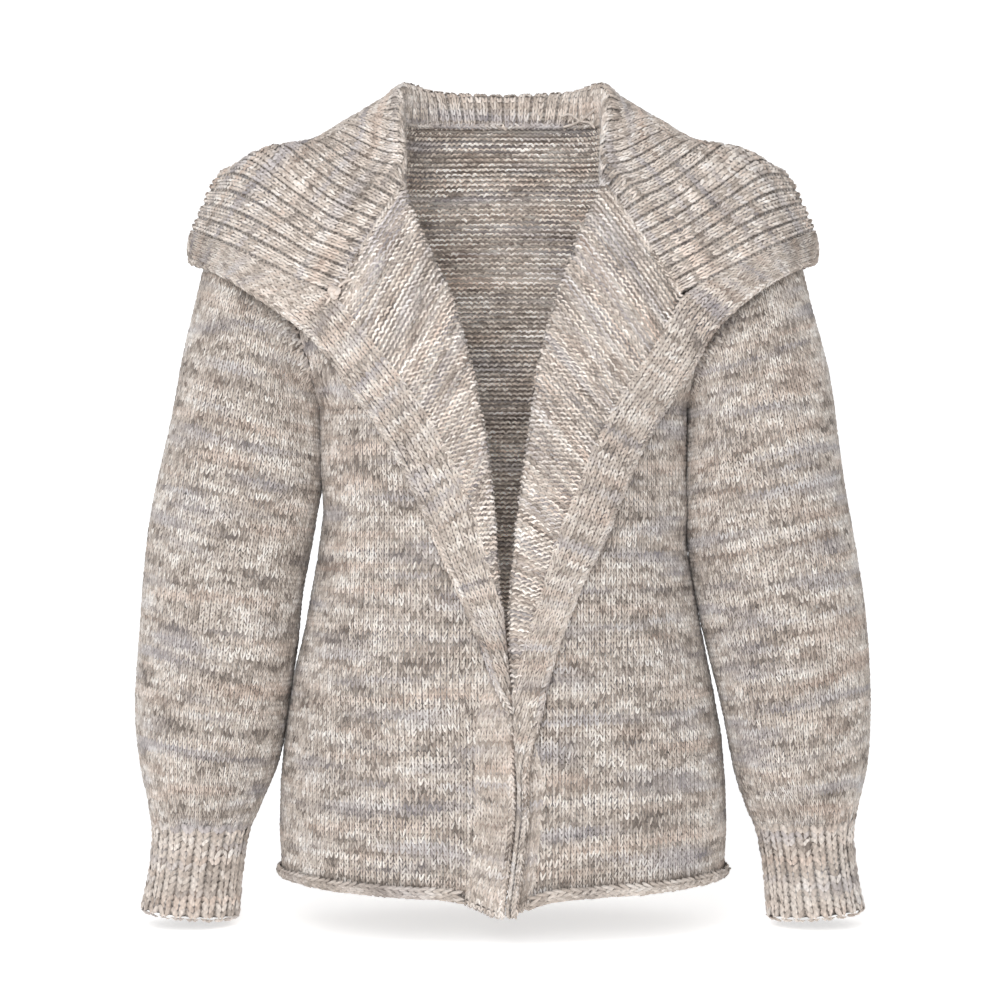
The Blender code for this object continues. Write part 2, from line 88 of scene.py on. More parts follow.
knit = {
    "stitchWide": 0.0050,
    "rowHigh": 0.0042,
    "wall": 0.0020,  # the ground under the stitches
    "vary": 0.15,  # how unevenly the stitches are drawn up
    "varyPurl": 0.27,
    "lean": 1.2,  # radians by which a stitch leans at most, for each unit of unevenness
    "rowPoints": 80,
}

# Body at rising heights: height, half-width at the side seams, depth of the front and of the back.
bodyTable = (
    (-0.660, 0.1850, 0.114, 0.101),
    (-0.630, 0.1862, 0.115, 0.102),
    (-0.600, 0.1880, 0.119, 0.106),
    (-0.560, 0.1870, 0.119, 0.106),
    (-0.520, 0.1835, 0.118, 0.105),
    (-0.481, 0.1765, 0.117, 0.104),
    (-0.431, 0.1665, 0.116, 0.103),
    (-0.372, 0.1560, 0.115, 0.102),
    (-0.338, 0.1515, 0.114, 0.102),
    (-0.300, 0.1490, 0.114, 0.101),
    (-0.245, 0.1500, 0.113, 0.101),
    (-0.120, 0.1500, 0.112, 0.100),
    (0.010, 0.1500, 0.112, 0.098),
)
# Armhole: share of its height, out.
armholeTable = (
    (0.0, 0.150),
    (0.12, 0.157),
    (0.25, 0.167),
    (0.4, 0.177),
    (0.6, 0.186),
    (0.8, 0.192),
    (1.0, 0.195),
)
# Front edge from the roll line's top down: out and height of the fold, then width and fall of the lapel and
# of the band.
edgeColumns = ("foldOut", "foldZ", "lapel", "lapelFall", "band", "bandFall")
edgeTable = {
    -1: (
        (0.0820, -0.064, 0.107, 58, 0.037, 47),
        (0.0630, -0.113, 0.092, 61, 0.038, 43),
        (0.0420, -0.158, 0.079, 61, 0.040, 40),
        (0.0270, -0.209, 0.062, 62, 0.040, 36),
        (0.0150, -0.268, 0.042, 62, 0.041, 38),
        (0.0080, -0.322, 0.026, 60, 0.037, 29),
        (0.0055, -0.369, 0.0105, 50, 0.0315, 20),
        (0.0022, -0.401, 0.003, 30, 0.0285, 10),
        (-0.0002, -0.434, -0.008, 0, 0.030, 0),
        (-0.0030, -0.472, -0.020, 0, 0.0315, 0),
        (-0.0046, -0.497, -0.028, 0, 0.030, 0),
        (-0.0074, -0.530, -0.033, 0, 0.030, 0),
        (-0.0074, -0.580, -0.033, 0, 0.030, 0),
        (0.0040, -0.655, -0.033, 0, 0.030, 0),
    ),
    1: (
        (0.0820, -0.062, 0.113, 55, 0.040, 51),
        (0.0630, -0.106, 0.108, 54, 0.038, 30),
        (0.0430, -0.160, 0.092, 52, 0.039, 28),
        (0.0300, -0.209, 0.077, 49, 0.038, 28),
        (0.0240, -0.250, 0.065, 50, 0.038, 23),
        (0.0140, -0.322, 0.042, 39, 0.037, 22),
        (0.0090, -0.369, 0.031, 30, 0.030, 14),
        (0.0062, -0.401, 0.024, 18, 0.0285, 6),
        (0.0062, -0.434, 0.014, 8, 0.0275, 2),
        (0.0094, -0.472, 0.0025, 0, 0.026, 0),
        (0.0106, -0.497, -0.008, 0, 0.030, 0),
        (0.0134, -0.530, -0.020, 0, 0.030, 0),
        (0.0134, -0.575, -0.021, 0, 0.030, 0),
        (0.0020, -0.655, -0.021, 0, 0.030, 0),
    ),
}
# Sleeve and cuff rings: out and height of the inner and of the outer point, y of the middle, half-depth.
sleeveTable = (
    (0.1505, -0.2430, 0.1955, -0.037, 0.005, 0.050),
    (0.1550, -0.2400, 0.2150, -0.050, 0.002, 0.054),
    (0.1585, -0.2460, 0.2340, -0.076, 0.000, 0.058),
    (0.1590, -0.2620, 0.2485, -0.113, -0.002, 0.061),
    (0.1590, -0.2850, 0.2600, -0.160, -0.003, 0.063),
    (0.1590, -0.3200, 0.2735, -0.215, -0.004, 0.065),
    (0.1630, -0.3580, 0.2860, -0.285, -0.005, 0.067),
    (0.1690, -0.4000, 0.2960, -0.350, -0.006, 0.068),
    (0.1755, -0.4450, 0.3035, -0.420, -0.008, 0.068),
    (0.1850, -0.4950, 0.3075, -0.490, -0.010, 0.067),
    (0.1945, -0.5430, 0.3045, -0.540, -0.012, 0.062),
    (0.2060, -0.5760, 0.2975, -0.573, -0.014, 0.050),
    (0.2155, -0.5970, 0.2930, -0.595, -0.015, 0.036),
)
cuffTable = (
    (0.2155, -0.5976, 0.2930, -0.5956, -0.015, 0.036),
    (0.2190, -0.6120, 0.2930, -0.6100, -0.015, 0.033),
    (0.2230, -0.6400, 0.2960, -0.6370, -0.016, 0.032),
    (0.2252, -0.6700, 0.3015, -0.6640, -0.016, 0.033),
)
# Collar from the front end to the centre back: share of the neck seam, then fold, crown and outer edge.
collarTable = (
    (0.00, (0.168, -0.080, -0.141), (0.222, -0.062, -0.113), (0.262, -0.010, -0.093)),
    (0.17, (0.140, -0.063, -0.090), (0.200, -0.010, -0.033), (0.240, 0.026, -0.039)),
    (0.35, (0.0872, -0.052, -0.045), (0.160, 0.004, -0.016), (0.225, 0.064, -0.070)),
    (0.50, (0.087, -0.024, -0.008), (0.135, 0.020, 0.000), (0.201, 0.086, -0.098)),
    (0.65, (0.087, 0.013, 0.032), (0.122, 0.050, -0.002), (0.160, 0.100, -0.117)),
    (0.83, (0.058, 0.058, 0.034), (0.072, 0.088, -0.015), (0.090, 0.108, -0.130)),
    (1.00, (0.000, 0.070, 0.033), (0.000, 0.095, -0.018), (0.000, 0.116, -0.134)),
)
bandTip = (
    (0.268, -0.008, -0.120),
    (0.241, -0.045, -0.131),
    (0.215, -0.069, -0.146),
    (0.190, -0.077, -0.163),
)
sideNames = {-1: "Right", 1: "Left"}
nodeSides = {-1: "right", 1: "left"}


def tableAt(rows, column, at):
    rows = np.array(rows)
    return np.interp(at, rows[:, 0], rows[:, column])


def fadeIn(value, start, over):
    return np.clip((value - start) / over, 0, 1)


def lengthOf(vectors):
    return np.linalg.norm(vectors, axis=-1, keepdims=True)


def unit(vectors):
    return vectors / lengthOf(vectors)


def runOf(line):
    return np.concatenate([[0], np.cumsum(np.linalg.norm(np.diff(line[:, :3], axis=0), axis=1))])


def alongLine(line, places):
    run = runOf(line)
    return np.stack([np.interp(places, run, line[:, k]) for k in range(line.shape[1])], 1)


def atShares(line, shares):
    return alongLine(line, shares * runOf(line)[-1])


def through(points, shares):
    # a smooth curve through the points, read at shares of its length
    points = np.asarray(points, float)
    if np.ndim(shares) == 0:
        shares = np.linspace(0, 1, shares)
    held = np.vstack([2 * points[0] - points[1], points, 2 * points[-1] - points[-2]])
    step = np.linspace(0, 1, 17)[:-1, None]
    fine = []
    for a, b, c, d in zip(held[:-3], held[1:-2], held[2:-1], held[3:]):
        cubic = -a + 3 * b - 3 * c + d
        square = 2 * a - 5 * b + 4 * c - d
        fine.append(0.5 * (2 * b + (c - a) * step + square * step**2 + cubic * step**3))
    fine = np.vstack(fine + [points[-1:]])
    return atShares(fine, np.asarray(shares))


def topZ(face, out):
    slope = -form["shoulderDrop"] * np.clip(np.abs(out) - form["neckOut"], 0, None)
    slope = slope / (form["shoulderOut"] - form["neckOut"])
    if face < 0:
        return slope
    return slope + form["backNeckRise"] * np.clip(1 - (out / form["neckOut"]) ** 2, 0, 1)


def chestWidth(h):
    top = bodyTable[-1][1]
    return top + (form["armholeWide"] - top) * (1 - (1 - h) ** form["chestPower"])


def bodyY(face, out, z):
    out = np.abs(out)
    h = np.clip((z - form["underarmZ"]) / (topZ(face, out) - form["underarmZ"]), 0, 1)
    width = np.where(h > 0, chestWidth(h), tableAt(bodyTable, 1, z))
    depth = tableAt(bodyTable, 2 if face < 0 else 3, z) * (1 - h**2) ** form["depthPower"]
    roundOff = np.sqrt(1 - np.clip(out / width, 0, 1) ** form["planPower"])
    nape = 0
    if face > 0:
        inNeck = np.clip(1 - (out / form["neckOut"]) ** 2, 0, 1) ** form["napePower"]
        nape = (form["backNeckY"] - form["seamY"]) * inNeck * h**2
    return form["seamY"] + nape + face * depth * roundOff


def hemLine(face, out):
    if face > 0:
        return form["hemZ"]
    dip = form["hemDip"] * (1 - out / form["hemHalf"])
    return form["hemZ"] - (dip + form["bandDip"] * np.exp(-((out / form["bandDipWide"]) ** 2)))


def armholeShare(z):
    return fadeIn(z, form["underarmZ"], -form["underarmZ"])


def rowAt(face, out, zCentre):
    h = armholeShare(zCentre)
    above = form["underarmZ"] + h * (topZ(face, out) - form["underarmZ"])
    low = fadeIn(-zCentre, form["dipFrom"], form["dipOver"])
    return np.where(h > 0, above, zCentre + low * (hemLine(face, out) - form["hemZ"]))


def sideOut(z):
    h = armholeShare(z)
    return np.where(h > 0, tableAt(armholeTable, 1, h), tableAt(bodyTable, 1, z))


def wideAt(z):
    h = armholeShare(z)
    return np.where(h > 0, chestWidth(h), tableAt(bodyTable, 1, z))


def across(face, zCentre, inner, shares):
    # one row from the side (share 0) to a distance out (share 1)
    wide = wideAt(zCentre)
    start = np.arcsin(np.clip(sideOut(zCentre) / wide, -1, 1))
    end = np.arcsin(inner / wide)
    out = wide * np.sin(start + (end - start) * np.asarray(shares))
    z = rowAt(face, out, zCentre)
    return np.stack([out, bodyY(face, out, z), z], 1)


edgeCurves = {side: through(rows, 160)[::-1] for side, rows in edgeTable.items()}


def edgeAt(side, zFold):
    fine = edgeCurves[side]
    edge = {}
    for k, name in enumerate(edgeColumns):
        edge[name] = float(np.interp(zFold, fine[:, 1], fine[:, k]))
    for layer in ("lapel", "band"):
        fall = math.radians(edge[layer + "Fall"])
        edge[layer + "Way"] = np.array([math.cos(fall), -math.sin(fall)])
    return edge


def awayFromFold(t):
    radius = form["foldRadius"]
    quarter = radius * math.pi / 2
    t = np.asarray(t, float)
    return np.where(np.abs(t) < quarter, radius * (1 - np.cos(t / radius)), np.abs(t) - quarter + radius)


def turnedPoints(edge, t):
    # t is 0 at the fold, negative on the body and positive on the layer turned back over it
    t = np.atleast_1d(np.asarray(t, float))
    radius = form["foldRadius"]
    away = awayFromFold(t)
    rise = form["lapelLift"] + (2 * radius - form["lapelLift"]) * np.exp(-(away - radius) / form["liftFade"])
    beyond = np.where(t > 0, rise, 0)
    lift = np.where(np.abs(t) < radius * math.pi / 2, radius * (1 + np.sin(t / radius)), beyond)
    onLapel = np.minimum(away, awayFromFold(edge["lapel"])) if edge["lapel"] > 0 else 0 * away
    move = onLapel[:, None] * edge["lapelWay"] + (away - onLapel)[:, None] * edge["bandWay"]
    out = edge["foldOut"] + np.where(t <= 0, away, move[:, 0])
    base = float(rowAt(-1, edge["foldOut"], edge["foldZ"]))
    z = np.where(t <= 0, rowAt(-1, out, edge["foldZ"]), base + move[:, 1])
    step = 0.002
    acrossSlope = (bodyY(-1, out + step, z) - bodyY(-1, out - step, z)) / (2 * step)
    upSlope = (bodyY(-1, out, z + step) - bodyY(-1, out, z - step)) / (2 * step)
    lift = lift * np.minimum(form["liftMost"], np.sqrt(1 + acrossSlope**2 + upSlope**2))
    lift = lift + form["sleeveLift"] * fadeIn(out, form["sleeveFrom"], form["sleeveOver"]) * (t > 0)
    return np.stack([out, bodyY(-1, out, z) - lift, z], 1)


def hemCurl(row, turns):
    # the rows that carry a panel's lowest row on into its curl, from the row to the curl's end
    ahead = np.gradient(row[:, :2], axis=0)
    outward = unit(np.stack([ahead[:, 1], -ahead[:, 0]], 1))
    outward *= np.sign((outward * (row[:, :2] - [0, form["seamY"]])).sum(1))[:, None]
    radius = form["hemRoll"] * (1 - form["hemTight"] * np.abs(outward[:, :1]))
    curl = []
    for angle in turns:
        move = outward * radius * (1 - math.cos(angle))
        curl.append(row + np.hstack([move, -radius * math.sin(angle)]))
    return curl


def ring(row, turn):
    inOut, inZ, outOut, outZ, middleY, halfDepth = row
    share = (1 - np.cos(turn)) / 2
    y = middleY - halfDepth * np.sin(turn)
    return np.stack([inOut + (outOut - inOut) * share, y, inZ + (outZ - inZ) * share], 1)


def armholeLoop(turn):
    points = []
    for angle in turn:
        h = (1 - math.cos(angle)) / 2
        face = -1 if angle < math.pi else 1
        zRow = form["underarmZ"] * (1 - h)
        out = float(sideOut(zRow))
        z = float(rowAt(face, out, zRow))
        points.append([out, float(bodyY(face, out, z)), z])
    return np.array(points)


def sleeveRings(turn):
    difference = armholeLoop(turn) - ring(sleeveTable[0], turn)
    rings = []
    for k, row in enumerate(sleeveTable):
        rings.append(ring(row, turn) + difference * max(0, 1 - k / form["armholeRings"]))
    rings = np.array(rings)
    into = rings[0] * [0, 1, 1] - [0, form["seamY"], (form["underarmZ"] - form["shoulderDrop"]) / 2]
    # clear of the body at 49 degrees, partly outwards and partly into the ring
    rings[0] += form["armholeGap"] * (0.75 * np.array([1, 0, 0]) - 0.66 * unit(into))
    return rings


def neckSeam(side):
    rows = edgeTable[side]
    edge = edgeAt(side, rows[0][1])
    lapel = turnedPoints(edge, np.linspace(edge["lapel"], 0, 24))
    z = np.linspace(rows[0][1], 0, 13)[1:]
    out = np.interp(z, [rows[0][1], 0], [rows[0][0], form["neckOut"]])
    sides = np.stack([out, bodyY(-1, out, z), z], 1)
    out = form["neckOut"] * np.cos(np.linspace(0, np.pi / 2, 17)[1:])
    z = topZ(1, out)
    nape = np.stack([out, bodyY(1, out, z), z], 1)
    return np.vstack([lapel, sides, nape])


def collarLine(seam, fine, share, count):
    # one rib line of the collar, from the neck seam over the roll to the outer edge
    values = [float(np.interp(share, fine[:, 0], fine[:, k])) for k in range(10)]
    start = through(seam, [share])[0]
    fold, crown, outer = (np.array(values[k : k + 3]) for k in (1, 4, 7))
    rise = unit(fold - start)
    fall = unit(crown - fold)
    along = unit(rise + fall) * form["collarRoll"]
    under = (rise - fall) / 2 * form["collarRoll"]
    near, far = fold - along - under, fold + along - under
    stand = through([start, near], 9)[:-1]
    roll = through([near, fold, far], 9)[:-1]
    return through(np.vstack([stand, roll, through([far, crown, outer], 24)]), count)


fan = {
    "start": (-0.744, -0.511),  # out and height of the point that the ribs over the shoulder spread from
    "full": 0.30,  # share of the seam up to which they do
    "none": 0.52,  # and from which they run square to the seam
    "even": 0.06,
    "lines": 241,
    "rounds": 60,  # of smoothing,
    "wideEvery": 5,  # with a wider one now and then
    "reach": 6,
}


def collarRibLines(side, ribs, perRib, count):
    # lines along the ribs, from the notch to the middle of the nape
    seam = neckSeam(side)
    flat = np.array([[share, *fold, *crown, *edge] for share, fold, crown, edge in collarTable])
    fine = through(np.hstack([flat[:, 7:10], flat]), 240)[:, 3:]
    shares = np.linspace(0, 1, fan["lines"])
    surface = np.array([collarLine(seam, fine, share, count) for share in shares])
    turn = np.arctan2(surface[..., 2] - fan["start"][1], surface[..., 0] - fan["start"][0])
    turn = np.maximum.accumulate(turn - turn[0], 0)
    atSeam = turn[:, 0] + shares * 1e-6  # so that it always rises
    own = shares[:, None]
    blend = fadeIn(-own, -fan["none"], fan["none"] - fan["full"])
    blend = blend**2 * (3 - 2 * blend)
    ribAt = own + blend * (np.interp(turn, atSeam, shares) - own)
    ribAt = np.maximum.accumulate(ribAt, 0) + fan["even"] * own
    ribAt /= ribAt[-1]
    reach = fan["reach"]
    for k in range(fan["rounds"]):
        if k % fan["wideEvery"] == 0:
            starts = range(0, 2 * reach + 1, reach // 2)
            near = [ribAt[start : start + len(ribAt) - 2 * reach] for start in starts]
            ribAt[reach:-reach] = sum(near) / len(near)
        ribAt[:, 1:-1] = (ribAt[:, :-2] + 2 * ribAt[:, 1:-1] + ribAt[:, 2:]) / 4
        ribAt[:, -1] = ribAt[:, -2]
    lines = np.empty((ribs * perRib + 1, count, 3))
    for k in range(count):
        at = np.interp(np.linspace(0, 1, len(lines)), ribAt[:, k], shares)
        for axis in range(3):
            lines[:, k, axis] = np.interp(at, shares, surface[:, k, axis])
    return lines


def mirrored(points, side):
    return np.asarray(points) * [side, 1, 1]


drape = {
    "fold": 0.0016,  # height of the soft upright folds of the body
    # each wave's height, turns a metre across, start, sway, turns of the sway a metre up, its start, and its
    # shift by face
    "waves": ((1.0, 52, 0.0, 1.4, 7.0, 0.0, 0.6), (0.7, 97, 2.1, 1.2, 11, 1.0, 0.0)),
    "fadeY": 0.05,  # none at the side seams, and none at the chest
    "fadeFrom": 0.17,
    "fadeOver": 0.25,
    "meet": 0.0017,  # how far each front edge is drawn to the line where the two meet
    "meetX": (  # height and out of that line
        (-0.66, 0.0008),
        (-0.6286, 0.0038),
        (-0.604, 0.0080),
        (-0.578, 0.0092),
        (-0.53, 0.0092),
        (-0.472, 0.0055),
        (-0.434, 0.0025),
    ),
    "meetReach": 0.015,
    "meetFrom": 0.42,
    "meetOver": 0.05,
    "sideFold": {  # how far a fold beside each sleeve stands out sideways, at rising heights
        -1: (
            (-0.52, 0.0),
            (-0.47, 0.003),
            (-0.43, 0.0),
            (-0.33, 0.0),
            (-0.30, 0.0055),
            (-0.25, 0.006),
            (-0.20, 0.0),
        ),
        1: ((-0.36, 0.0), (-0.33, 0.0055), (-0.25, 0.006), (-0.20, 0.0)),
    },
    "sideY": -0.022,
    "sideReach": 0.022,
    "sideFrom": 0.11,
    "sideOver": 0.03,
}


def draped(points):
    # the soft upright folds that the body hangs in, the same for every layer of the fabric
    points = np.asarray(points, float)
    x, y, z = points[..., 0], points[..., 1], points[..., 2]
    face = (y > form["seamY"]) * 2.0 - 1
    share = fadeIn(np.abs(y - form["seamY"]), 0, drape["fadeY"])
    share = share * fadeIn(-z, drape["fadeFrom"], drape["fadeOver"])
    wave = 0
    for high, turns, start, sway, swayTurns, swayStart, byFace in drape["waves"]:
        swayed = start + sway * np.sin(z * swayTurns + swayStart) + byFace * face
        wave = wave + high * np.sin(x * turns + swayed)
    moved = points.copy()
    moved[..., 1] += face * drape["fold"] * share * wave
    beside = np.exp(-(((y - drape["sideY"]) / drape["sideReach"]) ** 2))
    beside = fadeIn(np.abs(x), drape["sideFrom"], drape["sideOver"]) * beside
    stands = np.where(x < 0, tableAt(drape["sideFold"][-1], 1, z), tableAt(drape["sideFold"][1], 1, z))
    moved[..., 0] += np.sign(x) * stands * beside
    aside = x - tableAt(drape["meetX"], 1, z)
    drawn = drape["meet"] * fadeIn(-z, drape["meetFrom"], drape["meetOver"])
    drawn = drawn * np.exp(-np.abs(aside) / drape["meetReach"]) * (y < 0)
    moved[..., 0] -= np.sign(aside) * drawn
    return moved


# knitting on lines: every row is a line of points, and stitches are placed along it


def gridOnLines(lines, refs, wide, margin=0.35, extra=None):
    # points of stitches along each line at a fixed width, counted from the line's reference place
    firsts = [math.ceil((margin * wide - ref) / wide) for ref in refs]
    lasts = [math.floor((runOf(line)[-1] - margin * wide - ref) / wide) for line, ref in zip(lines, refs)]
    first = min(firsts)
    size = (len(lines), max(lasts) - first + 1)
    grid = {key: np.full(size + (3,), np.nan) for key in ("place", "across")}
    grid.update({key: np.full(size, np.nan) for key in ("along", "extra")})
    for i, (line, ref) in enumerate(zip(lines, refs)):
        columns = np.arange(firsts[i], lasts[i] + 1)
        at = ref + columns * wide
        k = columns - first
        grid["place"][i, k] = alongLine(line, at)
        grid["across"][i, k] = alongLine(line, at + wide / 2) - alongLine(line, at - wide / 2)
        grid["along"][i, k] = columns * wide
        if extra is not None:
            grid["extra"][i, k] = np.interp(at, runOf(line), extra[i])
    grid["across"] = grid["across"] / np.maximum(lengthOf(grid["across"]), 1e-9) * wide
    return grid


def withFrames(grid, flip=1.0, closed=False):
    # adds the way up and the way out of the fabric at each stitch
    place = grid["place"]
    ahead = np.full_like(place, np.nan)
    ahead[:-1] = place[1:] - place[:-1]
    behind = np.full_like(place, np.nan)
    behind[1:] = ahead[:-1]
    up = np.where(np.isnan(ahead), behind, np.where(np.isnan(behind), ahead, (ahead + behind) / 2))
    if "across" not in grid:
        right = np.roll(place, -1, 1) - place
        left = place - np.roll(place, 1, 1)
        if not closed:
            right[:, -1] = np.nan
            left[:, 0] = np.nan
        grid["across"] = np.where(np.isnan(right), left, np.where(np.isnan(left), right, (right + left) / 2))
    normal = np.cross(grid["across"], up)
    grid["up"] = up
    grid["normal"] = normal / np.maximum(lengthOf(normal), 1e-12) * flip
    return grid


def outwardOf(place, flip=1.0, closed=False):
    return withFrames({"place": place}, flip, closed)["normal"]


def oneRow(lines):
    # the stitches of several lines as one row of a grid
    return {key: np.concatenate([line[key] for line in lines])[None] for key in lines[0]}


def lifted(grid, height, keep=None, over=False):
    # the same stitches on a face of the cloth that lies this far from its middle, or on its other face
    moved = dict(grid)
    if over:
        moved["normal"] = -grid["normal"]
    moved["place"] = grid["place"] + moved["normal"] * height
    if keep is not None:
        moved["keep"] = keep
    return moved


def linked(name, data):
    made = bpy.data.objects.new(name, data)
    bpy.context.scene.collection.objects.link(made)
    return made


def setVectors(mesh, label, values):
    layer = mesh.attributes.new(label, "FLOAT_VECTOR", "POINT")
    layer.data.foreach_set("vector", np.asarray(values).astype(np.float32).ravel())


def newMesh(name, points, faces, material):
    mesh = bpy.data.meshes.new(name)
    mesh.from_pydata(points, [], faces)
    mesh.shade_smooth()
    mesh.materials.append(material)
    return mesh


def stitchCloud(name, grid, seed, rowStart=0):
    # a cloud of points, one a stitch, that carries each stitch's directions and its place in the knitting
    keep = np.all([np.isfinite(grid[key]).all(2) for key in ("place", "up", "across")], axis=0)
    if "keep" in grid:
        keep &= grid["keep"]
    rows, columns = np.nonzero(keep)
    along = grid["along"][rows, columns] if "along" in grid else columns * knit["stitchWide"]
    rows = rows + rowStart if "row" not in grid else grid["row"][rows, columns]
    mesh = bpy.data.meshes.new(name)
    mesh.vertices.add(len(rows))
    mesh.vertices.foreach_set("co", grid["place"][keep].astype(np.float32).ravel())
    marks = np.stack([along, rows + 0.5, np.full(len(rows), seed)], 1)
    for label, key in (("across", "across"), ("up", "up"), ("outward", "normal")):
        setVectors(mesh, label, grid[key][keep])
    setVectors(mesh, "knitAt", marks)
    return linked(name, mesh)


def addNode(tree, kind, inputs=(), out=0, **settings):
    # one node with its settings, its values and its links, and the output that is wanted of it
    node = tree.nodes.new(kind)
    for key, value in settings.items():
        setattr(node, key, value)
    for key, value in inputs.items() if isinstance(inputs, dict) else enumerate(inputs):
        if isinstance(value, bpy.types.NodeSocket):
            tree.links.new(value, node.inputs[key])
        else:
            node.inputs[key].default_value = value
    return node if out is None else node.outputs[out]


hexagonWiden = 1.1547  # makes a hexagon as wide as it is long
legSizes = ("Leg length", "Leg width", "Slant", "Spread", "Rise", "Sink", "Head drop", "Foot drop")


def stitchTree():
    # one yarn leg on each side of a stitch's middle, set on every point and drawn up unevenly
    tree = bpy.data.node_groups.new("Knitted stitches", "GeometryNodeTree")
    face = tree.interface
    face.new_socket("Geometry", in_out="INPUT", socket_type="NodeSocketGeometry")
    for label in (*legSizes, "Unevenness"):
        face.new_socket(label, in_out="INPUT", socket_type="NodeSocketFloat")
    face.new_socket("Seed", in_out="INPUT", socket_type="NodeSocketInt")
    face.new_socket("Yarn", in_out="INPUT", socket_type="NodeSocketMaterial")
    face.new_socket("Geometry", in_out="OUTPUT", socket_type="NodeSocketGeometry")
    given = addNode(tree, "NodeGroupInput", out=None).outputs
    # a hexagonal cone, stretched so that it spans one unit each way: x runs along a leg, y across it
    size = {"Vertices": 6, "Radius": 0.5}
    circle = addNode(tree, "GeometryNodeMeshCircle", size, fill_type="TRIANGLE_FAN")
    position = addNode(tree, "GeometryNodeInputPosition")
    parts = addNode(tree, "ShaderNodeSeparateXYZ", [position], out=None).outputs
    aside = addNode(tree, "ShaderNodeMath", [parts[1], hexagonWiden], operation="MULTIPLY")
    rim = addNode(tree, "ShaderNodeMath", [aside], operation="ABSOLUTE")
    rim = addNode(tree, "ShaderNodeMath", [rim, -2.0, 1.0], operation="MULTIPLY_ADD")
    mean = addNode(tree, "ShaderNodeMath", [given["Head drop"], given["Foot drop"]], operation="ADD")
    mean = addNode(tree, "ShaderNodeMath", [mean, 0.5], operation="MULTIPLY")
    differ = addNode(tree, "ShaderNodeMath", [given["Head drop"], mean], operation="SUBTRACT")
    twice = addNode(tree, "ShaderNodeMath", [parts[0], 2.0], operation="MULTIPLY")
    drop = addNode(tree, "ShaderNodeMath", [twice, mean, differ], operation="MULTIPLY_ADD")
    drop = addNode(tree, "ShaderNodeMath", [drop, twice], operation="MULTIPLY")
    top = addNode(tree, "ShaderNodeMath", [1.0, drop], operation="SUBTRACT")
    top = addNode(tree, "ShaderNodeMath", [top, rim], operation="MULTIPLY")
    legAt = addNode(tree, "ShaderNodeCombineXYZ", [aside, parts[0], top])
    kept = {"Geometry": circle, "Name": "legAt", "Value": legAt}
    marked = addNode(tree, "GeometryNodeStoreNamedAttribute", kept, data_type="FLOAT_VECTOR", domain="POINT")
    total = addNode(tree, "ShaderNodeMath", [given["Rise"], given["Sink"]], operation="ADD")
    high = addNode(tree, "ShaderNodeMath", [top, total], operation="MULTIPLY")
    high = addNode(tree, "ShaderNodeMath", [high, given["Sink"]], operation="SUBTRACT")
    x = addNode(tree, "ShaderNodeMath", [aside, given["Leg width"]], operation="MULTIPLY")
    y = addNode(tree, "ShaderNodeMath", [parts[0], given["Leg length"]], operation="MULTIPLY")
    shaped = addNode(tree, "ShaderNodeCombineXYZ", [x, y, high])
    leg = addNode(tree, "GeometryNodeSetPosition", {"Geometry": marked, "Position": shaped})
    aside = addNode(tree, "ShaderNodeCombineXYZ", [given["Spread"]])
    turn = addNode(tree, "ShaderNodeCombineXYZ", {2: given["Slant"]})
    leg = addNode(tree, "GeometryNodeTransform", {"Geometry": leg, "Translation": aside, "Rotation": turn})
    sides = []
    for sideAt in (1.0, 0.0):
        if sideAt == 0.0:
            leg = addNode(tree, "GeometryNodeTransform", {"Geometry": leg, "Scale": (-1.0, 1.0, 1.0)})
            leg = addNode(tree, "GeometryNodeFlipFaces", {"Mesh": leg})
        kept = {"Geometry": leg, "Name": "legSide", "Value": sideAt}
        leg = addNode(tree, "GeometryNodeStoreNamedAttribute", kept, data_type="FLOAT", domain="POINT")
        sides.append(leg)
    stitch = addNode(tree, "GeometryNodeJoinGeometry", out=None)
    for leg in sides:
        tree.links.new(leg, stitch.inputs[0])
    kind = "GeometryNodeInputNamedAttribute"
    labels = ("across", "up", "outward")
    named = [addNode(tree, kind, {"Name": label}, data_type="FLOAT_VECTOR") for label in labels]
    ways = [named[2], named[1]]
    facing = addNode(tree, "FunctionNodeAxesToRotation", ways, primary_axis="Z", secondary_axis="Y")
    wide = addNode(tree, "ShaderNodeVectorMath", [named[0]], out="Value", operation="LENGTH")
    tall = addNode(tree, "ShaderNodeVectorMath", [named[1]], out="Value", operation="LENGTH")
    less = addNode(tree, "ShaderNodeMath", [1.0, given["Unevenness"]], operation="SUBTRACT")
    more = addNode(tree, "ShaderNodeMath", [1.0, given["Unevenness"]], operation="ADD")
    limits = {2: less, 3: more, "Seed": given["Seed"]}
    drawn = addNode(tree, "FunctionNodeRandomValue", limits, out=1, data_type="FLOAT")
    tall = addNode(tree, "ShaderNodeMath", [tall, drawn], operation="MULTIPLY")
    size = addNode(tree, "ShaderNodeCombineXYZ", [wide, tall, drawn])
    setOut = {"Points": given["Geometry"], "Instance": stitch.outputs[0], "Rotation": facing, "Scale": size}
    placed = addNode(tree, "GeometryNodeInstanceOnPoints", setOut)
    lean = addNode(tree, "ShaderNodeMath", [given["Unevenness"], knit["lean"]], operation="MULTIPLY")
    back = addNode(tree, "ShaderNodeMath", [lean, -1.0], operation="MULTIPLY")
    low = addNode(tree, "ShaderNodeCombineXYZ", [back, back, back])
    high = addNode(tree, "ShaderNodeCombineXYZ", [lean, lean, lean])
    limits = {0: low, 1: high, "Seed": given["Seed"]}
    tilt = addNode(tree, "FunctionNodeRandomValue", limits, data_type="FLOAT_VECTOR")
    placed = addNode(tree, "GeometryNodeRotateInstances", {"Instances": placed, "Rotation": tilt})
    limits = {2: 0.0, 3: 1.0, "Seed": given["Seed"]}
    tone = addNode(tree, "FunctionNodeRandomValue", limits, out=1, data_type="FLOAT")
    kept = {"Geometry": placed, "Name": "tone", "Value": tone}
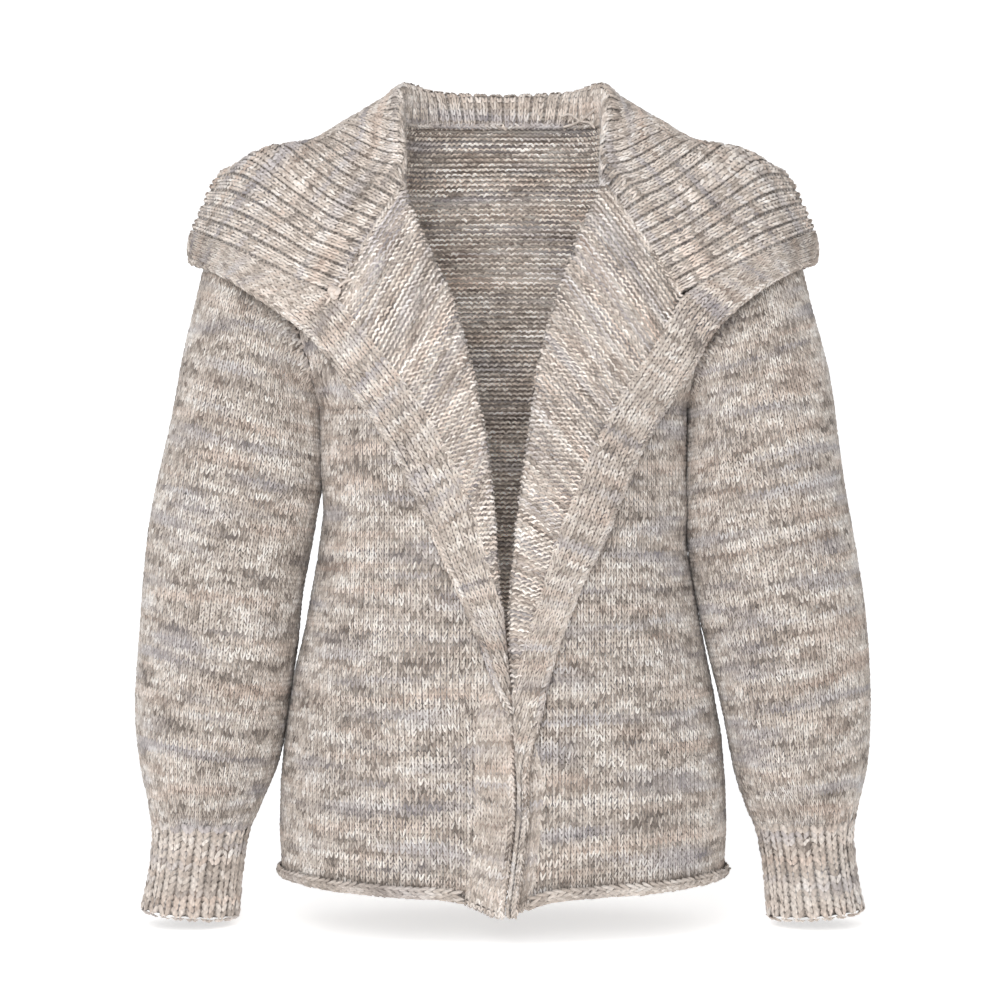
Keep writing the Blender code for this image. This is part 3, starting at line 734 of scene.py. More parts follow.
    placed = addNode(tree, "GeometryNodeStoreNamedAttribute", kept, data_type="FLOAT", domain="INSTANCE")
    real = addNode(tree, "GeometryNodeRealizeInstances", {"Geometry": placed})
    for label in labels:
        real = addNode(tree, "GeometryNodeRemoveAttribute", {"Geometry": real, "Name": label})
    real = addNode(tree, "GeometryNodeSetShadeSmooth", {"Geometry": real, "Shade Smooth": True})
    real = addNode(tree, "GeometryNodeSetMaterial", {"Geometry": real, "Material": given["Yarn"]})
    addNode(tree, "NodeGroupOutput", [real], out=None)
    return tree


knitTree = stitchTree()
# Legs of a plain stitch, of its back, of a rib's long stitches, of the thick chains along edges and seams,
# and of a rolled hem: length, width, slant, spread, rise, sink and the ends' drops. Length, width and spread
# are in stitches, the slant in radians, rise and sink in metres, and the drops are shares of these two.
legs = {
    "plain": (1.90, 0.51, -0.21, 0.25, 0.0011, 0.0007, 0.85, 0.35),
    "purl": (0.96, 0.60, -2.12, 0.25, 0.0014, 0.0008, 0.5, 0.5),
    "rib": (1.70, 0.53, -0.17, 0.25, 0.0013, 0.0008, 0.85, 0.35),
    "chain": (1.60, 0.50, -0.36, 0.24, 0.0016, 0.0010, 0.85, 0.35),
    "roll": (1.75, 0.54, -0.40, 0.24, 0.0017, 0.0010, 0.7, 0.5),
}


def ownPiece(name, mesh):
    mesh.name = name
    piece = linked(name, mesh)
    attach(piece, "root")
    return piece


def knitted(cloud, kind, yarn, seed, **changes):
    # turns a cloud of stitch points into the plain mesh of its stitches
    modifier = cloud.modifiers.new("Stitches", "NODES")
    modifier.node_group = knitTree
    values = dict(zip(legSizes, legs[kind]), Seed=seed, Yarn=yarn, Unevenness=knit["vary"])
    values.update(changes)
    for socket in knitTree.interface.items_tree:
        if socket.in_out == "INPUT" and socket.name in values:
            modifier[socket.identifier] = values[socket.name]
    graph = bpy.context.evaluated_depsgraph_get()
    mesh = bpy.data.meshes.new_from_object(cloud.evaluated_get(graph))
    name = cloud.name
    bpy.data.objects.remove(cloud)
    print("knitted", name, len(mesh.polygons))
    return ownPiece(name, mesh)


def knittedBack(cloud, yarn):
    return knitted(cloud, "purl", yarn, 5, Unevenness=knit["varyPurl"])


def marksOf(grid, seed, rowStart):
    # where each point of a shell lies in the knitting: metres along its row, row number, seed
    rows, columns = grid.shape[:2]
    steps = np.linalg.norm(np.diff(grid, axis=1), axis=2)
    along = np.concatenate([np.zeros((rows, 1)), np.cumsum(steps, 1)], 1)
    ups = np.linalg.norm(np.diff(grid, axis=0), axis=2).mean(1)
    row = np.concatenate([[0], np.cumsum(ups)]) / knit["rowHigh"] + rowStart
    return np.stack([along, np.broadcast_to(row[:, None], along.shape), np.full(along.shape, seed)], 2)


def wallOf(middle, seed, wall=None, closed=False, flip=1.0, shadeUnderStitches=(1.0, 0.0), rowStart=0):
    # the two faces of a wall of cloth around a grid of points in its middle
    outward = outwardOf(middle, flip, closed) * (wall or knit["wall"]) / 2
    return {
        "faces": (middle + outward, middle - outward),
        "marks": marksOf(middle, seed, rowStart),
        "closed": closed,
        "flip": flip,
        # painted shade under the stitches on each of the two faces
        "shadeUnderStitches": shadeUnderStitches,
    }


def clothPiece(name, walls, material):
    # closed walls of cloth as one piece, with their places in the knitting and the painted shade under the
    # stitches that lie over them
    points = []
    marks = []
    underShades = []
    faces = []
    total = 0
    for wall in walls:
        rows, columns = wall["faces"][0].shape[:2]
        size = rows * columns
        index = np.arange(size).reshape(rows, columns)
        span = columns if wall["closed"] else columns - 1
        right = (np.arange(span) + 1) % columns
        corners = (index[:-1, :span], index[:-1][:, right], index[1:][:, right], index[1:, :span])
        quads = [np.stack(corners, 2)]
        quads.append(quads[0][:, :, ::-1] + size)
        rims = [(index[0, :span], index[0][right]), (index[-1][right], index[-1, :span])]
        if not wall["closed"]:
            rims += [(index[1:, 0], index[:-1, 0]), (index[:-1, -1], index[1:, -1])]
        quads += [np.stack([end, start, start + size, end + size], 1) for start, end in rims]
        quads = np.concatenate([quad.reshape(-1, 4) for quad in quads])
        faces.append((quads if wall["flip"] > 0 else quads[:, ::-1]) + total)
        for face, underShade in zip(wall["faces"], wall["shadeUnderStitches"]):
            points.append(face.reshape(-1, 3))
            marks.append(wall["marks"].reshape(-1, 3))
            underShades.append(np.broadcast_to(np.asarray(underShade, float), (rows, columns)).ravel())
        total += 2 * size
    mesh = newMesh(name, np.concatenate(points).tolist(), np.concatenate(faces).tolist(), material)
    setVectors(mesh, "knitAt", np.concatenate(marks))
    layer = mesh.attributes.new("shadeUnderStitches", "FLOAT", "POINT")
    layer.data.foreach_set("value", np.concatenate(underShades).astype(np.float32))
    mesh.update()
    area = sum(face.area for face in mesh.polygons) / 2
    print("cloth", name, len(mesh.polygons), "faces, area", round(area, 4))
    return ownPiece(name, mesh)


def chainCloud(name, paths, wide, high, seed):
    # a chain of stitches along each path, which is its points and the way out of the fabric at each
    chains = []
    for path, outward in paths:
        at = (np.arange(int(runOf(path)[-1] / high)) + 0.5) * high
        both = alongLine(np.hstack([path, outward]), at)
        ahead = unit(alongLine(path, at + high / 2) - alongLine(path, at - high / 2)) * high
        normal = unit(both[:, 3:] - (both[:, 3:] * ahead).sum(1)[:, None] * ahead / high**2)
        across = unit(np.cross(ahead, normal)) * wide
        chains.append({"place": both[:, :3], "up": ahead, "across": across, "normal": normal, "along": at})
    return stitchCloud(name, oneRow(chains), seed)


# materials
marl = {
    "deep": "#746a63",  # the darkest of the spun-in shades
    "taupe": "#9f948b",
    "beige": "#cabeb4",
    "cream": "#e3dad2",
    "pale": "#f6f0ea",
    "rose": "#e0c6b6",  # a warm cast that comes and goes along the yarn
    "lilac": "#aaa8b2",  # and a cool one
    "blotch": 17.0,  # one over the length of a run of one shade, in metres
    "fleck": 60.0,
    "rowTie": 0.36,  # how far a run is shared by the rows above and below it
    "fleckTie": 7.73,
    "blotchShare": 0.52,
    "fleckShare": 0.45,
    "legShare": 0.22,  # and of each leg's own shade
    "mean": 0.595,  # of the three together
    "contrast": 2.6,
    "middle": 0.56,  # where the mean falls on the range of shades
    "drift": (0.55, 0.8, 1.0),  # how slowly the casts come and go, beside the blotches
    "driftFrom": (40.0, 9.0, 3.0),
    "roseFrom": (0.54, 0.72, 0.36),  # where the drift turns rose, where it is most so, and how much
    "lilacFrom": (0.46, 0.30, 0.44),
    "gapShade": 0.46,  # the yarn in the shade between two legs
    "gapFrom": 0.20,  # from a leg's middle, where that starts
    "headShade": 0.80,  # and where a leg goes under the next one
    "headFrom": 0.15,
    "spot": 0.55,  # flecks of one ply's shade within a leg
    "spotSize": (2.4, 4.2, 1.0),
    "otherLeg": 3.7,  # steps by which the pattern moves on from leg to leg and from stitch to stitch
    "otherStitch": 90.0,
    "twist": (9.0, 13.0),  # slant and number of the ply's turns on a leg
    "twistShade": 0.09,
    "twistDeep": 0.0003,
    "coverShade": 0.52,  # painted shade: how much darker the ground is under its stitches
    "rowWave": 0.14,
    "rowDeep": 0.0012,
}
# how the wool takes the light: matt, with a faint sheen of loose fibres
fibre = {"Roughness": 0.92, "Sheen Weight": 0.18, "Sheen Roughness": 0.5, "Specular IOR Level": 0.25}
shadeStops = ((0.02, "deep"), (0.26, "taupe"), (0.52, "beige"), (0.78, "cream"), (1.0, "pale"))


def linear(code):
    values = [int(code[k : k + 2], 16) / 255 for k in (1, 3, 5)]
    return [v / 12.92 if v <= 0.04045 else ((v + 0.055) / 1.055) ** 2.4 for v in values] + [1.0]


def marlColour(tree, along, row, seed, tone, contrast=1.0):
    # space-dyed yarn: runs of one shade along a row, each row its own, with a slow warm and cool drift
    noises = []
    for size, tie, detail in (("fleck", "fleckTie", 1.0), ("blotch", "rowTie", 1.5)):
        run = addNode(tree, "ShaderNodeMath", [along, marl[size]], operation="MULTIPLY")
        tied = addNode(tree, "ShaderNodeMath", [row, marl[tie]], operation="MULTIPLY")
        far = addNode(tree, "ShaderNodeCombineXYZ", [run, tied, seed])
        noises.append(addNode(tree, "ShaderNodeTexNoise", {"Vector": far, "Scale": 1.0, "Detail": detail}))
    fleck, blotch = noises
    fleck = addNode(tree, "ShaderNodeMath", [fleck, marl["fleckShare"]], operation="MULTIPLY")
    both = addNode(tree, "ShaderNodeMath", [blotch, marl["blotchShare"], fleck], operation="MULTIPLY_ADD")
    both = addNode(tree, "ShaderNodeMath", [tone, marl["legShare"], both], operation="MULTIPLY_ADD")
    both = addNode(tree, "ShaderNodeMath", [both, marl["mean"]], operation="SUBTRACT")
    spread = [both, marl["contrast"] * contrast, marl["middle"]]
    both = addNode(tree, "ShaderNodeMath", spread, operation="MULTIPLY_ADD")
    ramp = addNode(tree, "ShaderNodeValToRGB", {"Fac": both}, out=None)
    stops = ramp.color_ramp.elements
    stops[0].position = shadeStops[0][0]
    stops[1].position = shadeStops[-1][0]
    for position, shade in shadeStops[1:-1]:
        stops.new(position)
    for stop, (position, shade) in zip(stops, shadeStops):
        stop.color = linear(marl[shade])
    elsewhere = [far, marl["drift"], marl["driftFrom"]]
    drift = addNode(tree, "ShaderNodeVectorMath", elsewhere, operation="MULTIPLY_ADD")
    drift = addNode(tree, "ShaderNodeTexNoise", {"Vector": drift, "Scale": 1.0, "Detail": 1.0})
    colour = ramp.outputs[0]
    for cast in ("rose", "lilac"):
        start, full, most = marl[cast + "From"]
        limits = {"Value": drift, "From Min": start, "From Max": full, "To Max": most}
        share = addNode(tree, "ShaderNodeMapRange", limits)
        mixed = {0: share, 6: colour, 7: linear(marl[cast])}
        colour = addNode(tree, "ShaderNodeMix", mixed, out=2, data_type="RGBA")
    return colour


def newMaterial(name):
    material = bpy.data.materials.new(name)
    material.use_nodes = True
    shader = material.node_tree.nodes["Principled BSDF"]
    for label, value in fibre.items():
        shader.inputs[label].default_value = value
    return material, material.node_tree, shader


def partsOf(tree, label):
    # the three numbers that each point of a piece carries under this name
    vector = addNode(tree, "ShaderNodeAttribute", out="Vector", attribute_name=label)
    return addNode(tree, "ShaderNodeSeparateXYZ", [vector], out=None).outputs


def shaded(tree, colour, light, shader):
    # the colour under its own small shadows, into the shader
    grey = addNode(tree, "ShaderNodeCombineColor", [light, light, light])
    settings = {"data_type": "RGBA", "blend_type": "MULTIPLY"}
    colour = addNode(tree, "ShaderNodeMix", {0: 1.0, 6: colour, 7: grey}, out=2, **settings)
    tree.links.new(colour, shader.inputs["Base Color"])


def yarnMaterial(name, toneAndPaintedLight=1.0, gap=marl["gapShade"], contrast=1.0):
    # marled wool blend, spun in two plies and knitted, which gives the eye a matt rope on each leg of a
    # stitch, flecked by the plies, with painted shade into the gaps and where a leg goes under the next one
    material, tree, shader = newMaterial(name)
    at = partsOf(tree, "knitAt")
    leg = partsOf(tree, "legAt")
    side = addNode(tree, "ShaderNodeAttribute", out="Fac", attribute_name="legSide")
    tone = addNode(tree, "ShaderNodeAttribute", out="Fac", attribute_name="tone")
    # the two legs of a stitch differ
    own = addNode(tree, "ShaderNodeMath", [side, marl["otherLeg"], tone], operation="MULTIPLY_ADD")
    own = addNode(tree, "ShaderNodeCombineXYZ", [own])
    own = addNode(tree, "ShaderNodeTexWhiteNoise", {"Vector": own}, out="Value", noise_dimensions="3D")
    colour = marlColour(tree, at[0], at[1], at[2], own, contrast)
    spot = addNode(tree, "ShaderNodeMath", [tone, marl["otherStitch"]], operation="MULTIPLY")
    spot = addNode(tree, "ShaderNodeCombineXYZ", [leg[0], leg[1], spot])
    spot = addNode(tree, "ShaderNodeVectorMath", [spot, marl["spotSize"]], operation="MULTIPLY")
    spot = addNode(tree, "ShaderNodeTexNoise", {"Vector": spot, "Scale": 1.0, "Detail": 1.0})
    # the place's lightness, partly own tone and partly painted light, is added to the flecks here
    spread = [spot, marl["spot"], toneAndPaintedLight - marl["spot"] / 2]
    spot = addNode(tree, "ShaderNodeMath", spread, operation="MULTIPLY_ADD")
    twist = addNode(tree, "ShaderNodeMath", [leg[0], marl["twist"][0], tone], operation="MULTIPLY_ADD")
    twist = addNode(tree, "ShaderNodeMath", [leg[1], marl["twist"][1], twist], operation="MULTIPLY_ADD")
    twist = addNode(tree, "ShaderNodeMath", [twist], operation="SINE")
    shade = addNode(tree, "ShaderNodeMath", [twist, marl["twistShade"], spot], operation="MULTIPLY_ADD")
    # painted shade towards a leg's rims and under the next leg's head
    rim = addNode(tree, "ShaderNodeMath", [leg[0]], operation="ABSOLUTE")
    limits = {"Value": rim, "From Min": marl["gapFrom"], "From Max": 0.5, "To Min": 1.0, "To Max": gap}
    rise = addNode(tree, "ShaderNodeMapRange", limits, interpolation_type="SMOOTHSTEP")
    limits.update({"Value": leg[1], "From Min": marl["headFrom"], "To Max": marl["headShade"]})
    head = addNode(tree, "ShaderNodeMapRange", limits)
    rise = addNode(tree, "ShaderNodeMath", [rise, head], operation="MULTIPLY")
    light = addNode(tree, "ShaderNodeMath", [shade, rise], operation="MULTIPLY")
    shaded(tree, colour, light, shader)
    relief = {"Strength": 0.35, "Distance": marl["twistDeep"], "Height": twist}
    bump = addNode(tree, "ShaderNodeBump", relief)
    tree.links.new(bump, shader.inputs["Normal"])
    return material


def groundMaterial(name):
    # the same wool blend where no stitch is made as a shape: the back of plain knitting, which gives the eye
    # wavy rows of bumps 4.2 mm high with painted shade between the rows, and painted shade where stitches
    # lie over it
    material, tree, shader = newMaterial(name)
    at = partsOf(tree, "knitAt")
    shadeUnderStitches = addNode(tree, "ShaderNodeAttribute", out="Fac", attribute_name="shadeUnderStitches")
    wave = addNode(tree, "ShaderNodeMath", [at[0], 2 * math.pi / knit["stitchWide"]], operation="MULTIPLY")
    wave = addNode(tree, "ShaderNodeMath", [wave], operation="SINE")
    row = addNode(tree, "ShaderNodeMath", [wave, marl["rowWave"], at[1]], operation="MULTIPLY_ADD")
    ridge = addNode(tree, "ShaderNodeMath", [row, math.pi], operation="MULTIPLY")
    ridge = addNode(tree, "ShaderNodeMath", [ridge], operation="SINE")
    ridge = addNode(tree, "ShaderNodeMath", [ridge], operation="ABSOLUTE")
    whole = addNode(tree, "ShaderNodeMath", [row], operation="FLOOR")
    colour = marlColour(tree, at[0], whole, at[2], 0.5)
    # painted shade between the rows of bumps
    light = addNode(tree, "ShaderNodeMath", [ridge, 0.5, 0.5], operation="MULTIPLY_ADD")
    # painted shade where stitches lie over the ground
    underShade = addNode(tree, "ShaderNodeMath", [shadeUnderStitches, -marl["coverShade"], 1.0], operation="MULTIPLY_ADD")
    light = addNode(tree, "ShaderNodeMath", [light, underShade], operation="MULTIPLY")
    shaded(tree, colour, light, shader)
    bump = addNode(tree, "ShaderNodeBump", {"Strength": 0.8, "Distance": marl["rowDeep"], "Height": ridge})
    tree.links.new(bump, shader.inputs["Normal"])
    return material


# the yarn as each place shows it: its lightness, partly its own tone and partly painted light (most on the
# inside of the back, which lies in the garment's shade), its shade between two legs, and its contrast of
# shades
plainYarn = yarnMaterial("marled wool blend, plain-knitted")
purlYarn = yarnMaterial("marled wool blend, back of the knitting", 1.31, 0.38)
# painted light: the inside of the back lies in the garment's shade and is given a lighter copy of the yarn
insideYarn = yarnMaterial("marled wool blend, inside of the back", 1.62, 0.42)
cuffYarn = yarnMaterial("marled wool blend, ribbed", 1.06, 0.60, 0.6)
collarYarn = yarnMaterial("marled wool blend, ribbed and folded over", 1.25, 0.60, 0.8)
furrowYarn = yarnMaterial("marled wool blend, sunk between the ribs", 1.20, 0.60, 0.5)
looseYarn = yarnMaterial("marled wool blend, loose end", 1.38, 0.9, 0.3)
bandYarn = yarnMaterial("marled wool blend, knitted lengthways", 1.06, 0.55, 0.75)
chainYarn = yarnMaterial("marled wool blend, crocheted seam", 1.10)
ground = groundMaterial("marled wool blend, knitted ground")
half = knit["wall"] / 2
quarter = form["foldRadius"] * math.pi / 2


def placed(lines, side):
    return [draped(mirrored(line, side)) for line in lines]


# how far apart a shell's points lie, from a fold outwards
spacing = {"close": 0.0022, "wide": 0.010, "reach": 0.008, "grow": 0.35}


def resampled(line, columns, near=None):
    # a line's points spaced for a shell, closer together round a fold
    if near is None:
        return atShares(line, np.linspace(0, 1, columns))
    at = np.linspace(0, runOf(line)[-1], 400)
    apart = spacing["close"] + spacing["grow"] * (np.abs(at - near) - spacing["reach"])
    dense = np.cumsum(1 / np.clip(apart, spacing["close"], spacing["wide"]))
    return alongLine(line, np.interp(np.linspace(dense[0], dense[-1], columns), dense, at))


# fronts: a body panel and, above the fold, the lapel that turns back and shows the back of its knitting
front = {
    "seed": {-1: 2.0, 1: 11.0},
    "reference": 0.09,  # the wale that hangs plumb, out from the centre
    "under": 0.003,  # how far its stitches run on under the band's
    "columns": 64,
    "topColumns": 40,
    "turnStep": 0.0012,
    "margin": 0.05,  # how near to a row's ends a stitch may lie, in stitches
    "changeOver": 0.6,  # where the stitches change faces, as a share of the fold's first quarter
    "finePoints": 300,
    "shadeUnderStitches": (1.0, 0.3),  # painted shade under its stitches on the shell's two faces
    "held": "draped",
    "flat": {-1: (0.25, 0.70), 1: (0.26, 0.70)},
    "area": {-1: 0.14, 1: 0.145},
}


def plumbAt(line):
    # how far along a row its reference place lies
    body = line[: knit["rowPoints"]]
    return float(np.interp(-front["reference"], -body[:, 0], runOf(body)))


def frontLines(side):
    # rows below the roll line's top, with their places, and the rows above it
    top = edgeTable[side][0][1]
    shares = np.linspace(0, 1, knit["rowPoints"])
    lines = []
    turns = []
    heights = np.arange(form["hemZ"], top, knit["rowHigh"])
    for z in heights:
        edge = edgeAt(side, z)
        seam = edge["lapel"] + front["under"]
        start = min(-quarter, seam)
        line = across(-1, z, edge["foldOut"] + float(awayFromFold(start)), shares)
        turn = np.full(len(shares), -1.0)
        if seam > -quarter:
            t = np.linspace(-quarter, seam, max(4, int((seam + quarter) / front["turnStep"])))[1:]
            line = np.vstack([line, turnedPoints(edge, t)])
            turn = np.concatenate([turn, t])
        lines.append(line)
        turns.append(turn)
    upper = []
    for z in np.arange(heights[-1] + knit["rowHigh"], 0.0005, knit["rowHigh"]):
        inner = float(np.interp(z, [top, 0], [edgeTable[side][0][0], form["neckOut"]]))
        upper.append(across(-1, min(z, 0), inner, shares))
    return lines, turns, upper


def curlOf(line):
    # the rows of a hem's roll, from its end to the row above it
    count = int(form["hemTurn"] * form["hemRoll"] / knit["rowHigh"])
    return hemCurl(line, np.arange(count, 0, -1) * knit["rowHigh"] / form["hemRoll"])


hem = {"turns": (1.25, 2.35, 3.45), "wide": 0.0062, "high": 0.0068}  # big stitches that lie along the roll


def hemStitches(name, line, side, seed):
    # the roll shows the back of its last rows, drawn out into long slanting loops
    row, far = hemCurl(line, (0, math.pi))
    centre = (row + far) / 2
    paths = []
    for around in hemCurl(line, hem["turns"]):
        outward = unit(around - centre)
        paths.append((draped(mirrored(around + outward * half, side)), mirrored(outward, side)))
    return knitted(chainCloud(name + "HemRoll", paths, hem["wide"], hem["high"], seed), "roll", cuffYarn, 6)


def makeFront(side):
    name = "front" + sideNames[side]
    seed = front["seed"][side]
    lines, turns, upper = frontLines(side)
    curl = curlOf(lines[0])
    rolled = lines[0]
    turns = [turns[0]] * len(curl) + turns
    refs = [plumbAt(line) for line in [rolled] * len(curl) + lines]
    upperRefs = [plumbAt(line) for line in upper]
    lines = placed(curl + lines, side)
    upper = placed(upper, side)
    grid = gridOnLines(lines, refs, knit["stitchWide"], front["margin"], turns)
    grid = withFrames(grid, -side)
    inCurl = np.arange(len(lines))[:, None] < len(curl)
    onBody = grid["extra"] < -front["changeOver"] * quarter
    body = lifted(grid, half, onBody & ~inCurl)
    turned = lifted(grid, half, (grid["extra"] > -quarter) & ~onBody & ~inCurl, over=True)
    above = lifted(withFrames(gridOnLines(upper, upperRefs, knit["stitchWide"]), -side), half)
    pieces = [
        knitted(stitchCloud(name + "Plain", body, seed), "plain", plainYarn, 3),
        knitted(stitchCloud(name + "PlainTop", above, seed, len(lines)), "plain", plainYarn, 4),
        knittedBack(stitchCloud(name + "LapelPurl", turned, seed), purlYarn),
        hemStitches(name, rolled, side, seed),
    ]
    shell = []
    for line, turn in zip(lines[:-1:2] + lines[-1:], turns[:-1:2] + turns[-1:]):
        run = runOf(line)
        trimmed = alongLine(line, np.linspace(0, run[-1] - front["under"], front["finePoints"]))
        fold = np.interp(0, turn, run) if turn[-1] > 0 else run[-1]
        shell.append(resampled(trimmed, front["columns"], fold))
    upper = [lines[-1][: knit["rowPoints"]], *upper]
    topShell = [resampled(line, front["topColumns"]) for line in upper]
    walls = [wallOf(np.array(shell), seed, flip=-side, shadeUnderStitches=front["shadeUnderStitches"])]
    walls.append(wallOf(np.array(topShell), seed, flip=-side, rowStart=len(lines)))
    return clothPiece(name, walls, ground), pieces


# back
back = {
    "seed": 5.0,
    "columns": 90,
    "purlOut": 0.118,  # how far out and how low its inside has stitches, where it shows
    "purlLow": -0.50,
    # painted shade under its stitches on the shell's two faces
    "shadeUnderStitches": (1.0, 0.4),
    "held": "draped",
    "flat": (0.48, 0.67),
    "area": 0.28,
}


def backLines():
    lines = []
    for z in np.arange(form["hemZ"], 0.0005, knit["rowHigh"]):
        line = across(1, min(z, 0), 0.0, np.linspace(0, 1, back["columns"]))
        lines.append(np.vstack([line * [-1, 1, 1], line[::-1][1:]]))
    return lines


def makeBack():
    lines = backLines()
    curl = curlOf(lines[0])
    rolled = lines[0]
    lines = [draped(line) for line in curl + lines]
    refs = [runOf(line)[-1] / 2 for line in lines]
    grid = withFrames(gridOnLines(lines, refs, knit["stitchWide"]), -1)
    inCurl = np.arange(len(lines))[:, None] < len(curl)
    seen = (np.abs(grid["place"][..., 0]) < back["purlOut"]) & (grid["place"][..., 2] > back["purlLow"])
    inside = lifted(grid, half, seen & ~inCurl, over=True)
    pieces = [
        knitted(stitchCloud("backPlain", lifted(grid, half, ~inCurl), back["seed"]), "plain", plainYarn, 3),
        knittedBack(stitchCloud("backPurl", inside, back["seed"]), insideYarn),
        hemStitches("back", rolled, 1, back["seed"]),
    ]
    shell = np.array([resampled(line, back["columns"]) for line in lines[:-1:2] + lines[-1:]])
    wall = wallOf(shell, back["seed"], flip=-1, shadeUnderStitches=back["shadeUnderStitches"])
    return clothPiece("backPanel", [wall], ground), pieces


# sleeves: full, and drawn in over the cuffs
sleeve = {
    "seed": {-1: 21.0, 1: 27.0},
    "columns": 92,
    "rings": 170,
    # slope of the rows in degrees, at rising heights
    "lean": ((-0.60, 0.0), (-0.52, 8.0), (-0.30, 12.0), (-0.20, 15.0), (-0.04, 30.0)),
    "middle": 0.245,
    "drawnUp": (0.5, 1.75),  # least and most that a stitch is drawn up where rows crowd or part, in rows
    "gather": 0.0022,  # height of the gathers over the cuff
    "gathers": 15,
    "gatherZ": -0.60,
    "gatherFade": 0.028,
    "gatherEnd": (-0.598, 0.01),  # height where they start, and over which they rise
    "fold": 0.0018,
    "foldEnd": (-0.59, 0.05),  # the same for the folds, and below the shoulder
    "foldTop": (0.16, 0.1),
    "folds": ((1.0, 3, 16, 1), (0.6, 2, -31, 2)),  # height, turns all round, turns a metre up, shift by side
    "closer": {  # how far the inner side is drawn to the body, at rising heights
        -1: (
            (-0.58, 0.0),
            (-0.50, 0.0022),
            (-0.44, 0.0022),
            (-0.40, 0.0),
            (-0.33, 0.0),
            (-0.30, 0.003),
            (-0.24, 0.003),
        ),
        1: (
            (-0.58, 0.0),
            (-0.50, 0.0010),
            (-0.44, 0.0014),
            (-0.40, 0.0026),
            (-0.30, 0.0034),
            (-0.24, 0.003),
        ),
    },
    "shadeRows": 6,  # rows of its shell at the armhole, where fewer stitches lie over it, so with less painted shade than the rest
    "shade": 0.45,
    "seamWide": 0.0048,
    "seamHigh": 0.0042,
    "seamOff": 0.004,
    "held": "draped",
    "flat": (0.52, 0.58),
    "area": 0.19,
}


def sleeveSurface(side):
    # columns of points from the cuff to the armhole
    turn = np.linspace(0, 2 * np.pi, sleeve["columns"], endpoint=False)
    rings = sleeveRings(turn)
    surface = np.stack([through(rings[::-1, j], sleeve["rings"]) for j in range(len(turn))], 1)
    outward = unit((surface - surface.mean(1, keepdims=True)) * [1, 1, 0.3])
    up = surface[..., 2]
    drawn = sleeve["gather"] * np.cos(turn * sleeve["gathers"] + 2.0 * np.sin(turn * 2 + side))
    drawn = drawn * np.exp((sleeve["gatherZ"] - up) / sleeve["gatherFade"])
    drawn = drawn * fadeIn(up, *sleeve["gatherEnd"])
    fold = 0
    for high, turns, climb, shift in sleeve["folds"]:
        fold = fold + high * np.sin(turns * turn + climb * up + shift * side)
    fold = sleeve["fold"] * fold * fadeIn(up, *sleeve["foldEnd"]) * fadeIn(-up, *sleeve["foldTop"])
    inner = ((1 + np.cos(turn)) / 2) ** 2 * tableAt(sleeve["closer"][side], 1, up)
    return surface + outward * (drawn + fold)[..., None] - inner[..., None] * [1, 0, 0]


def makeSleeve(side):
    name = "sleeve" + sideNames[side]
    seed = sleeve["seed"][side]
    surface = sleeveSurface(side)
    heights, slopes = np.array(sleeve["lean"]).T
    slope = np.tan(np.radians(np.interp(surface[..., 2], heights, slopes)))
    level = surface[..., 2] - (surface[..., 0] - sleeve["middle"]) * slope
    surface = mirrored(surface, side)
    rows = np.arange(level[0].max() + 0.0005, level.max(), knit["rowHigh"])
    place = np.full((len(rows), sleeve["columns"], 3), np.nan)
    for j in range(sleeve["columns"]):
        for axis in range(3):
            place[:, j, axis] = np.interp(rows, level[:, j], surface[:, j, axis], left=np.nan, right=np.nan)
    grid = lifted(withFrames({"place": place}, side, closed=True), half)
    tall = lengthOf(grid["up"])[..., 0] / knit["rowHigh"]
    grid["keep"] = (tall > sleeve["drawnUp"][0]) & (tall < sleeve["drawnUp"][1])
    seam = surface[-1][np.r_[0 : sleeve["columns"], 0]]
    outward = seam - seam.mean(0) + [side * 0.05, 0, 0]
    path = (seam + outward * sleeve["seamOff"], outward)
    seam = chainCloud(name + "Seam", [path], sleeve["seamWide"], sleeve["seamHigh"], seed)
    pieces = [
        knitted(stitchCloud(name + "Plain", grid, seed), "plain", plainYarn, 3),
        knitted(seam, "chain", plainYarn, 4),
    ]
    inShade = np.ones((len(surface[::3]), 1))
    inShade[-sleeve["shadeRows"] :] = sleeve["shade"]
    wall = wallOf(surface[::3], seed, closed=True, flip=side, shadeUnderStitches=(inShade, 0.0))
    return clothPiece(name, [wall], ground), pieces


def lipOf(edge, inner, outward, radius):
    # rows that carry a free edge on, round to the cloth's other face, the last of them first
    ahead = unit(edge - inner)
    return [edge + radius * (ahead * math.sin(a) - outward * (1 - math.cos(a))) for a in (2.5, 1.7, 0.85)]


# ribbing: raised columns of plain stitches with narrow furrows between them
rib = {
    "perRib": 10,  # points across one rib
    "furrow": 0.12,  # half-width of a furrow, as a share of a rib
    "step": 0.0011,  # metres along the yarn from one point to the next
    "barHigh": 0.0052,  # purl stitches in the furrows
    "barWide": 0.24,
    "barSunk": 0.6,
    "barShort": 4,  # points by which a furrow's stitches stop short of a rib's ends
}


def ribColumns(lines, indices, high, wide, flip, closed=False):
    # stitches one above another on the given lines
    columns = []
    count = len(lines)
    for i in indices:
        sides = [(i + k) % count if closed else min(max(i + k, 0), count - 1) for k in (-1, 1)]
        path = lines[i]
        length = runOf(path)[-1]
        number = max(1, round(length / high))
        shares = (np.arange(number) + 0.5) / number
        step = 0.5 / number
        ahead = atShares(path, shares + step) - atShares(path, shares - step)
        left, right = (atShares(lines[k], shares) for k in sides)
        column = {"place": atShares(path, shares), "up": ahead}
        column["across"] = unit(right - left) * (lengthOf(right - left) / 2 * rib["perRib"] * wide)
        column["normal"] = unit(np.cross(right - left, ahead) * flip)
        column["along"] = np.full(number, i * rib["step"])
        column["row"] = shares * length / knit["rowHigh"]
        columns.append(column)
    return oneRow(columns)


